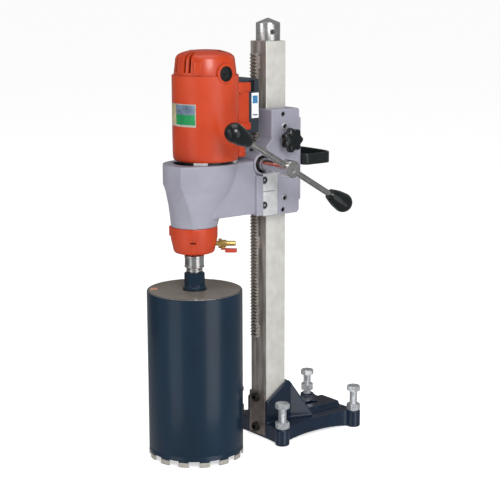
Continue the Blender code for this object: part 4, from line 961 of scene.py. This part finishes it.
# A corner runs down the front of the collar and the cone, where the two halves of the mould met: at each level a
# small disc stands proud of the round plan, and the skin pulled over it makes a flat on either side.
CORNER_R = 0.0012
shells = []
for lower, upper in zip(levels, levels[1:]):
    discs = []
    for z, front_radius, rear_radius, rear_y, degrees, proud in (lower, upper):
        reach, way = front_radius + proud - CORNER_R, math.radians(degrees)
        discs += [(0, SPINDLE_Y, z, front_radius), (0, rear_y, z, rear_radius)]
        discs += [(reach * math.cos(way), SPINDLE_Y + reach * math.sin(way), z, CORNER_R)]
    shells.append(hull_of("drill_bracket_painted", *discs))
arm = block("arm", (-0.058, -0.205, 0.569), (0.058, -0.076, 0.694), 0.004)
flange = block("flange", (-0.066, -0.086, 0.5645), (0.066, -0.066, 0.660), 0.002)
bracket = joined(*shells, arm, flange)
cast_skin(bracket, 0.0013, 2, 0.5)
carved(
    bracket,
    round_bar("feed_clearance", (0, FEED_Y, FEED_Z), (1, 0, 0), 0.0285, 0.3, sides=96),
    round_bar("gear_room", (0, SPINDLE_Y + 0.012, 0.672), (0, 0, 1), 0.0560, 0.060, sides=64),
    round_bar("layshaft_room", (LAYSHAFT_X, LAYSHAFT_Y, 0.672), (0, 0, 1), 0.030, 0.060, sides=48),
    round_bar("lower_room", (0, SPINDLE_Y, 0.620), (0, 0, 1), 0.0345, 0.070, sides=64),
    round_bar("pinion_room", (LAYSHAFT_X, LAYSHAFT_Y, 0.625), (0, 0, 1), 0.0140, 0.064, sides=32),
    round_bar("bottom_bore", (0, SPINDLE_Y, 0.560), (0, 0, 1), 0.0240, 0.090, sides=64),
)
fitted(bracket, "carriage", grey_paint, "grey_casting", "drill_bracket", sharp=50)

# ================================================================ motor housing
# The motor sits in a red enamelled aluminium shell: a plain drum that narrows at its foot, with lugs at the back
# that grip the switch box, and a cap above with cooling slots and a boss for each brush.

# Semi-gloss red enamel, baked on: warm red, fine orange peel, edges rubbed a little paler.
red_enamel = coated(
    "baked_red_enamel_on_aluminium", "B83809", "AC3107", (0.30, 0.40), 60, 2.6, 0.020, coat=0.08, worn="C9502E"
)
BRUSH_Y, BRUSH_Z = MOTOR_Y + 0.002, 0.899
housing = turned(
    "motor_housing_enamelled",
    [(0.0757, 0.8940), (0.0765, 0.8930), (0.0765, 0.7560), (0.0762, 0.7180), (0.0756, 0.7065), (0.0740, 0.7020),
     (0.0715, 0.7001), (0.0665, 0.7001), (0.0705, 0.7160), (0.0705, 0.8940)],
    (0, MOTOR_Y, 0), steps=128, closed=True,
)
lugs = []
for side in (-1, 1):
    low_x, high_x = sorted((side * 0.0365, side * 0.0415))
    lugs.append(block("cheek", (low_x, -0.1250, 0.7680), (high_x, -0.0885, 0.8700), 0.0020))
    lugs.append(block("cheek_foot", (low_x, -0.1280, 0.7030), (high_x, -0.0995, 0.7750), 0.0020))
    for low_z, high_z in ((0.765, 0.782), (0.853, 0.874)):
        low_x, high_x = sorted((side * 0.0362, side * 0.0445))
        lugs.append(block("lug", (low_x, -0.1190, low_z), (high_x, -0.0855, high_z), 0.0022))
        low_x, high_x = sorted((side * 0.036, side * 0.0520))
        lugs.append(block("lug_root", (low_x, -0.130, low_z - 0.002), (high_x, -0.112, high_z + 0.002), 0.004))
carved(housing, *lugs, operation="UNION")
for side in (-1, 1):
    carved(housing, round_bar("boss_room", (side * 0.07, BRUSH_Y, BRUSH_Z), (1, 0, 0), 0.0224, 0.06))
carved(housing, round_bar("bore", (0, MOTOR_Y, 0.80), (0, 0, 1), 0.0662, 0.3, sides=128))
fitted(housing, "carriage", red_enamel, "red_housing", "motor_housing", sharp=35)

cap = turned(
    "motor_cap_enamelled",
    [(0, 0.9500), (0.0200, 0.9497), (0.0360, 0.9484), (0.0520, 0.9440), (0.0600, 0.9404), (0.0650, 0.9362),
     (0.0674, 0.9315), (0.0716, 0.8960), (0.0716, 0.8943), (0.0660, 0.8943), (0.0620, 0.9290), (0.0560, 0.9350),
     (0.0200, 0.9420), (0, 0.9420)],
    (0, MOTOR_Y, 0), steps=128,
)
for side in (-1, 1):
    carved(
        cap, round_bar("brush_boss", (side * 0.0668, BRUSH_Y, BRUSH_Z), (1, 0, 0), 0.0220, 0.0210, 0.0015),
        operation="UNION",
    )
for side in (-1, 1):
    carved(cap, round_bar("brush_bore", (side * 0.060, BRUSH_Y, BRUSH_Z), (1, 0, 0), 0.0175, 0.070))
for front in (-90, 90):
    for offset in (-24, -13, 13, 24):
        way = math.radians(front + offset)
        slot = block("vent", (-0.024, -0.0032, -0.0160), (0.016, 0.0032, 0.0400), 0.0014, 2)
        settled(slot, Matrix.Translation((0.066 * math.cos(way), MOTOR_Y + 0.066 * math.sin(way), 0.9170))
                @ Matrix.Rotation(way, 4, "Z"))
        carved(cap, slot)
# A raised pad stands beside the slots on each face, and short slots pierce the crown towards the brushes.
for front in (-90, 90):
    way = math.radians(front + 41)
    for low_y, high_y, reach in ((-0.0080, 0.0080, 0.0734), (-0.0090, -0.0062, 0.0745), (0.0062, 0.0090, 0.0745)):
        pad = block("pad", (0.0560, low_y, 0.8960), (reach, high_y, 0.9260), 0.0010, 2)
        settled(pad, about(MOTOR_Y, way))
        carved(cap, pad, operation="UNION")
for row in range(3):
    slot = block("crown_slot", (0.0080, -0.0021, 0.9300), (0.0400, 0.0021, 0.9600), 0.0010, 1)
    settled(slot, Matrix.Translation((0.004, MOTOR_Y + 0.010 + 0.008 * row, 0)))
    carved(cap, slot)
fitted(cap, "carriage", red_enamel, "red_housing", "motor_cap", sharp=30)

# Black moulded brush caps, with a coin slot across each.
brush_black = coated("moulded_black_nylon", "17191A", "0E1011", (0.34, 0.5), 9, 0.8, 0.03)
for side, label in ((-1, "left"), (1, "right")):
    brush_cap = turned(
        f"brush_cap_{label}_moulded",
        [(0, 0.0450), (0.0170, 0.0450), (0.0170, 0.0762), (0.0160, 0.0774), (0.0145, 0.0774), (0.0138, 0.0760),
         (0.0138, 0.0735), (0.0050, 0.0735), (0.0040, 0.0745), (0, 0.0745)],
        steps=56,
    )
    carved(brush_cap, block("coin_slot", (-0.0120, -0.0012, 0.0722), (0.0120, 0.0012, 0.0800)))
    settled(brush_cap, facing((side, 0, 0), (0, BRUSH_Y, BRUSH_Z)))
    fitted(brush_cap, "carriage", brush_black, "black_plastic", f"brush_holder_{label}", sharp=35)

# The bearing plate is coloured black as painted shade, so it shows as a dark gap under the motor, with pale fixing
# pads across it.
plate = turned(
    "motor_bearing_plate_cast",
    [(0.0660, 0.6997), (0.0660, 0.6943), (0.0180, 0.6943), (0.0180, 0.6845), (0.0113, 0.6845), (0.0113, 0.6997)],
    (0, MOTOR_Y, 0), steps=96, closed=True,
)
fitted(plate, "carriage", dipped_vinyl, "grey_casting", "motor_bearing_plate", sharp=35)
for i in range(4):
    way = math.radians(-46 + 90 * i)
    pad = block("pad", (0.0640, -0.0160, 0.6941), (0.0715, 0.0160, 0.6999), 0.0006)
    settled(pad, about(MOTOR_Y, way))
    pad.name = f"motor_seat_pad_{i + 1}"
    fitted(pad, "carriage", milled_aluminium, "grey_casting", sharp=30)

# ================================================================ rating plate
# A printed foil plate wraps the front of the motor.  It carries plain blocks of colour and no lettering.


def printed(name, colour, deep):
    """Screen-printed polyester film: flat colour with a fine dot structure and a slight gloss."""
    return coated(name, colour, deep, (0.30, 0.42), 18, 0.9, 0.006, coat=0.1)


def wrapped(name, radius, centre_y, degrees, low, high, thick):
    """A patch of film bent round an upright drum: a line spun through part of a turn, then thickened.
    A positive spin angle turns clockwise, so the line starts at the larger of the two degrees."""
    end, start = (math.radians(d) for d in degrees)
    piece = drawn(
        name, [(radius * math.cos(start), centre_y + radius * math.sin(start), low + (high - low) * i / 4)
               for i in range(5)]
    )
    bpy.ops.mesh.select_all(action="SELECT")
    steps = max(4, int((degrees[1] - degrees[0]) / 2.5))
    bpy.ops.mesh.spin(steps=steps, angle=start - end, center=(0, centre_y, 0), axis=(0, 0, 1))
    bpy.ops.mesh.select_all(action="SELECT")
    bpy.ops.mesh.remove_doubles(threshold=1e-6)
    bpy.ops.mesh.normals_make_consistent(inside=False)
    bpy.ops.object.mode_set(mode="OBJECT")
    with_modifier(piece, "SOLIDIFY", thickness=thick, offset=0.0)
    on_bench(piece)
    return tidy_skin(piece)


# Four films: a silvered border, and faded beige, grey-blue and green fields inside it.
film_border = printed("printed_film_silver_border", "A7A79E", "8E8F86")
film_beige = printed("printed_film_beige", "B8AC8C", "978A68")
film_blue = printed("printed_film_grey_blue", "6D7F95", "49596C")
film_green = printed("printed_film_green", "0A8A4B", "047040")
for name, degrees, low, high, out, film in (
    ("rating_plate_border", (-117, -52.5), 0.7810, 0.8320, 0.0000, film_border),
    ("rating_plate_beige", (-115.5, -95), 0.7830, 0.8300, 0.0003, film_beige),
    ("rating_plate_blue", (-94.5, -54), 0.8090, 0.8300, 0.0003, film_blue),
    ("rating_plate_green", (-94.5, -54), 0.7855, 0.8085, 0.0003, film_green),
):
    film_piece = wrapped(name, 0.0768 + out, MOTOR_Y, degrees, low, high, 0.0003)
    fitted(film_piece, "carriage", film, "red_housing", sharp=40)

# ================================================================ switch box
# A dark blue-grey moulded box clips to the motor's back between the lugs, with a rocker let into its top and a
# cord gland below.  No cord is fitted.

# Moulded ABS: slate blue-grey, matt, with a fine spark-eroded grain.
switch_abs = coated("moulded_slate_abs", "2C343D", "242B33", (0.42, 0.56), 20, 1.0, 0.04, coat=0.05)
switch_box = block("switch_box_moulded", (-0.0355, -0.1215, 0.7555), (0.0355, -0.0540, 0.8810), 0.0050, 4)
carved(
    switch_box,
    round_bar("motor_room", (0, MOTOR_Y, 0.82), (0, 0, 1), 0.0771, 0.3, sides=128),
    block("rocker_room", (0.0200, -0.0850, 0.8520), (0.0400, -0.0690, 0.8770), 0.0008),
    round_bar("gland_room", (0, -0.085, 0.756), (0, 0, 1), 0.0088, 0.024),
    block("lid_line_right", (0.0349, -0.0850, 0.7), (0.04, -0.0842, 0.9)),
    block("lid_line_left", (-0.04, -0.0850, 0.7), (-0.0349, -0.0842, 0.9)),
)
fitted(switch_box, "carriage", switch_abs, "switch_plastic", "switch_housing", sharp=35)
rocker = block("power_switch_rocker", (0.0266, -0.0844, 0.8541), (0.0345, -0.0696, 0.8749), 0.0012)
on_bench(rocker)
pick("VERT", lambda at, normal: at.x > 0.0335 and abs(at.z - 0.8645) > 0.0080)
bpy.ops.transform.translate(value=(-0.0006, 0, 0))
bpy.ops.object.mode_set(mode="OBJECT")
fitted(rocker, "rocker", brush_black, "black_plastic", "power_switch", sharp=35)
gland = turned(
    "cord_gland_moulded",
    [(0.0045, 0.7410), (0.0060, 0.7410), (0.0066, 0.7416), (0.0068, 0.7450), (0.0062, 0.7458), (0.0070, 0.7466),
     (0.0072, 0.7500), (0.0066, 0.7508), (0.0085, 0.7520), (0.0085, 0.7650), (0.0045, 0.7650)],
    (0, -0.085, 0), steps=48, closed=True,
)
fitted(gland, "carriage", brush_black, "black_plastic", "cord_gland", sharp=35)
# The label on the box: white film with a sky-blue picture field and one grey-blue strip.
film_white = printed("printed_film_white", "E9EBEC", "D9DBDD")
film_picture = printed("printed_film_sky_blue", "3E86B4", "2A6694")
for name, low, high, out, film in (
    ("switch_label_white", (-0.0770, 0.7900), (-0.0565, 0.8480), 0.0000, film_white),
    ("switch_label_picture", (-0.0740, 0.8240), (-0.0595, 0.8420), 0.0003, film_picture),
    ("switch_label_strip", (-0.0740, 0.7960), (-0.0595, 0.7990), 0.0003, film_blue),
):
    piece = block(name, (0.0354 + out, low[0], low[1]), (0.0358 + out, high[0], high[1]), 0.0001, 1)
    fitted(piece, "carriage", film, "switch_plastic", sharp=30)

# ================================================================ nose and water feed
# Below the gearbox a red enamelled nose carries the lower bearing and the water seal.  Cooling water comes in
# through a small brass ball valve with a hose barb and a red lever.

nose = turned(
    "nose_housing_enamelled",
    [(0.0530, 0.5487), (0.0538, 0.5483), (0.0545, 0.5460), (0.0545, 0.5250), (0.0541, 0.5238), (0.0543, 0.5228),
     (0.0541, 0.5215), (0.0478, 0.4930), (0.0468, 0.4902), (0.0448, 0.4882), (0.0420, 0.4872), (0.0235, 0.4872),
     (0.0235, 0.5000), (0.0156, 0.5000), (0.0156, 0.5487)],
    (0, SPINDLE_Y, 0), steps=112, closed=True,
)
way = math.radians(-37)
parting = hull_of("parting", *[
    (r * math.cos(way), SPINDLE_Y + r * math.sin(way), z, 0.0018)
    for z, r in ((0.5480, 0.0532), (0.5250, 0.0540), (0.5215, 0.0534), (0.4920, 0.0470))
])
carved(nose, parting, operation="UNION")
lug = block("corner_lug", (0.0470, -0.0070, 0.5262), (0.0574, 0.0070, 0.5485), 0.0018, 2)
settled(lug, about(SPINDLE_Y, math.radians(-128)))
carved(nose, lug, operation="UNION")
for degrees in (-38, 142):
    way = math.radians(degrees)
    window = block("leak_slot", (0.0440, -0.0064, 0.5146), (0.0620, 0.0064, 0.5190), 0.0010, 2)
    carved(nose, settled(window, about(SPINDLE_Y, way)))
VALVE_TURN = math.radians(50)
valve_stand = Matrix.Translation((0, SPINDLE_Y, 0.5075)) @ Matrix.Rotation(VALVE_TURN, 4, "Z")
carved(nose, settled(round_bar("port", (0.04, 0, 0), (1, 0, 0), 0.0060, 0.06, sides=32), valve_stand))
fitted(nose, "carriage", red_enamel, "red_housing", "nose_housing", sharp=35)

valve = turned(
    "valve_body_brass",
    [(0.0025, 0.0370), (0.0052, 0.0370), (0.0055, 0.0373), (0.0055, 0.0560), (0.0080, 0.0640), (0.0084, 0.0650),
     (0.0084, 0.0738), (0.0078, 0.0744), (0.0055, 0.0748), (0.0055, 0.0765), (0.0064, 0.0770), (0.0055, 0.0835),
     (0.0055, 0.0840), (0.0064, 0.0845), (0.0055, 0.0905), (0.0064, 0.0912), (0.0050, 0.0965), (0.0025, 0.0965)],
    steps=48, closed=True,
)
settled(valve, facing((1, 0, 0), (0, 0, 0)))
wrench_hexagon = hexagon_head("valve_hexagon", 0.0200, 0.0562, 0.0640, 0.0)
settled(wrench_hexagon, facing((1, 0, 0), (0, 0, 0)))
stem_boss = round_bar("stem_boss", (0.068, 0, -0.0068), (0, 0, 1), 0.0045, 0.0100, 0.0006)
joined(valve, wrench_hexagon, stem_boss)
settled(valve, valve_stand)
fitted(valve, "carriage", turned_brass, "brass", "valve_body", sharp=35)

# Dipped vinyl: bright red, soft and slightly uneven.
red_vinyl = coated("dipped_red_vinyl", "C43A28", "A82E1F", (0.30, 0.44), 9, 1.2, 0.03, coat=0.15)
lever_line = [
    (-0.006, -0.004), (-0.004, -0.006), (0.005, -0.006), (0.024, -0.004), (0.029, -0.0045), (0.031, -0.003),
    (0.031, 0.003), (0.029, 0.0045), (0.024, 0.004), (0.005, 0.006), (-0.004, 0.006), (-0.006, 0.004),
]
lever = cut_plate("lever_plate", lever_line, -0.0022, 0.0)
settled(lever, Matrix.Translation((0.068, 0, -0.0123)))
lever_grip = block("lever_grip", (0.0715, -0.0050, -0.0215), (0.0990, 0.0050, -0.0130), 0.0024)
joined(lever, lever_grip)
lever.name = "valve_lever_dipped"
settled(lever, valve_stand)
fitted(lever, "lever", red_vinyl, "red_plastic", "valve_lever", sharp=35)

# ================================================================ spindle and adapter
# A hollow bright spindle comes out of the nose with flats for a spanner; a navy enamelled adapter, also with
# spanner flats, joins it to the core bit.

spindle = turned(
    "spindle_bright",
    [(0.0130, 0.6400), (0.0130, 0.5660), (0.0150, 0.5660), (0.0150, 0.4822), (0.0222, 0.4806), (0.0230, 0.4796),
     (0.0230, 0.4750), (0.0222, 0.4742), (0.0222, 0.4560), (0.0230, 0.4552), (0.0230, 0.4528), (0.0220, 0.4516),
     (0.0160, 0.4506), (0.0165, 0.4480), (0.0190, 0.4470), (0.0190, 0.4432), (0.0180, 0.4424), (0.0150, 0.4420),
     (0.0150, 0.4402), (0.0060, 0.4402), (0.0060, 0.6400)],
    (0, SPINDLE_Y, 0), steps=96, closed=True,
)
for way in (-1, 1):
    flat = block("flat", (-0.03, -0.004, 0.4580), (0.03, 0.004, 0.4725), 0.0008)
    carved(spindle, settled(flat, Matrix.Translation((0, SPINDLE_Y + way * 0.0243, 0))))
fitted(spindle, "spindle_set", turned_steel, "bright_steel", "spindle", sharp=30)

# Gloss enamel sprayed on steel tube: deep navy, with a long slow ripple down its length that softens the streaks.
bit_enamel = coated(
    "navy_gloss_enamel_on_tube", "032439", "021C2E", (0.27, 0.35), 90, 3.2, 0.006, coat=0.18, stretch=(1, 1, 0.35)
)
adapter = turned(
    "bit_adapter_enamelled",
    [(0.0070, 0.4396), (0.0205, 0.4396), (0.0238, 0.4376), (0.0240, 0.4090), (0.0244, 0.4070), (0.0264, 0.4050),
     (0.0270, 0.4040), (0.0270, 0.4003), (0.0262, 0.3993), (0.0070, 0.3993)],
    (0, SPINDLE_Y, 0), steps=72, closed=True,
)
for i in range(6):
    way = math.radians(60 * i + 22)
    flat = block("flat", (0.0207, -0.02, 0.4125), (0.0300, 0.02, 0.4385), 0.0006)
    settled(flat, about(SPINDLE_Y, way))
    carved(adapter, flat)
fitted(adapter, "spindle_set", bit_enamel, "black_steel", "bit_adapter", sharp=30)

# ================================================================ core bit
# A rolled steel barrel, 223 mm across, sprayed navy, with a welded top plate whose navy is coloured brown-grey as a
# painted reflection.  Fourteen sintered diamond segments are brazed round its mouth.

BIT_R, BIT_TOP, SEGMENT_TOP = 0.1115, 0.399, 0.011
barrel = turned(
    "core_bit_barrel",
    [(0.0072, BIT_TOP), (0.0275, BIT_TOP), (0.1085, BIT_TOP), (0.1094, 0.3987), (0.1098, 0.3976), (0.1102, 0.3972),
     (0.1113, 0.3966), (BIT_R, 0.3955), (BIT_R, 0.200), (BIT_R, 0.0260), (0.1112, 0.0254), (0.1112, 0.0246),
     (BIT_R, 0.0240), (BIT_R, 0.0126), (0.1110, 0.0116), (BIT_R - 0.0035, 0.0116), (BIT_R - 0.0035, 0.389),
     (0.0072, 0.389)],
    (0, SPINDLE_Y, 0), steps=160, closed=True,
)
for i in range(14):
    way = 2 * math.pi * (i + 0.5) / 14
    gap = block("gullet", (0.09, -0.0130, 0.0), (0.13, 0.0130, 0.0146), 0.0020, 3)
    settled(gap, about(SPINDLE_Y, way))
    carved(barrel, gap)
fitted(barrel, "spindle_set", bit_enamel, "bit_paint", "core_bit", sharp=30)
cover = turned(
    "core_bit_top_plate",
    [(0.0285, 0.39895), (0.0290, 0.39925), (0.1065, 0.39925), (0.1078, 0.39895), (0.1078, 0.3985), (0.0285, 0.3985)],
    (0, SPINDLE_Y, 0), steps=160, closed=True,
)
# The top plate's navy enamel, coloured brown-grey and satin: the brown-grey is a painted reflection of the pale room
# at a grazing angle.
plate_enamel = coated(
    "navy_enamel_painted_grazing_reflection", "7B736A", "6B645C", (0.30, 0.42), 60, 3.0, 0.012, coat=0.2
)
fitted(cover, "spindle_set", plate_enamel, "bit_paint", sharp=30)
weld = turned(
    "core_bit_weld",
    [(0.1096 + 0.0009 * math.cos(a), 0.3978 + 0.0009 * math.sin(a)) for a in
     (math.radians(d) for d in range(0, 360, 45))],
    (0, SPINDLE_Y, 0), steps=160, closed=True,
)
# Weld bead of bare, rough steel, its pale colour partly a painted highlight, so the rim of the barrel reads as a pale
# line.
weld_and_rim_highlight = machined("bare_weld_steel_painted_rim_highlight", "C6C3BB", "9A968D", (0.35, 0.55), 1.2, 5, 0.05)
fitted(weld, "spindle_set", weld_and_rim_highlight, "bit_paint", sharp=60)
size_tag = block("size_tag", (-0.008, -0.010, 0.39915), (0.008, 0.010, 0.39955), 0.0001, 1)
settled(size_tag, about(SPINDLE_Y, math.radians(-128)) @ Matrix.Translation((0.095, 0, 0)))
# Faded orange film on the top plate.
film_orange = printed("printed_film_orange", "D9A98C", "C98B68")
fitted(size_tag, "spindle_set", film_orange, "bit_paint", sharp=30)

# Sintered metal and diamond: bare brown-grey, gritty, unpainted.
sintered = machined(
    "sintered_diamond_segment", "C4C0B8", "A39D94", (0.42, 0.62), 0.5, 3, 0.06, metallic=0.4, stain="7A7268"
)
segment = wrapped("segment", BIT_R - 0.0018, 0.0, (-6.35, 6.35), 0.0003, SEGMENT_TOP + 0.0004, 0.0046)
with_modifier(segment, "BEVEL", width=0.0004, segments=2, limit_method="ANGLE", angle_limit=math.radians(40))
for i in range(14):
    turn_to = about(SPINDLE_Y, 2 * math.pi * i / 14)
    fitted(copied(segment, f"bit_segment_{i + 1:02d}", turn_to), "spindle_set", sintered, "bit_paint", sharp=30)
bpy.data.objects.remove(segment)

# ================================================================ parts inside
# Gears, bearings, windings and fan are turned or cut parts whose shapes the frame already holds.  Each is dressed
# in the finish it has: ground gears in oil, ball-race steel, varnished copper and lamination, moulded fan.

# Ground steel in oil, varnished copper wound in one direction, and matt grey moulded nylon.
gear_steel = machined("ground_gear_steel_oiled", "8F8B86", "66615B", (0.22, 0.38), 0.8, 5, 0.015)
winding = coated("varnished_copper_windings", "8A4A22", "4E2A14", (0.24, 0.42), 6, 0.9, 0.12, coat=0.4, metallic=0.3,
                 stretch=(1, 1, 0.2))
fan_nylon = coated("moulded_grey_nylon_fan", "3A3C3E", "2C2E30", (0.4, 0.55), 14, 1.0, 0.03)
for material, nodes in (
    (gear_steel, ("armature_pinion", "layshaft_gear", "layshaft", "spindle_gear", "feed_pinion")),
    (turned_steel, ("armature_shaft", "motor_bearing", "spindle_bearing")),
    (winding, ("stator", "armature_core")),
    (fan_nylon, ("cooling_fan",)),
):
    for node in nodes:
        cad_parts[node].material_slots[0].material = material
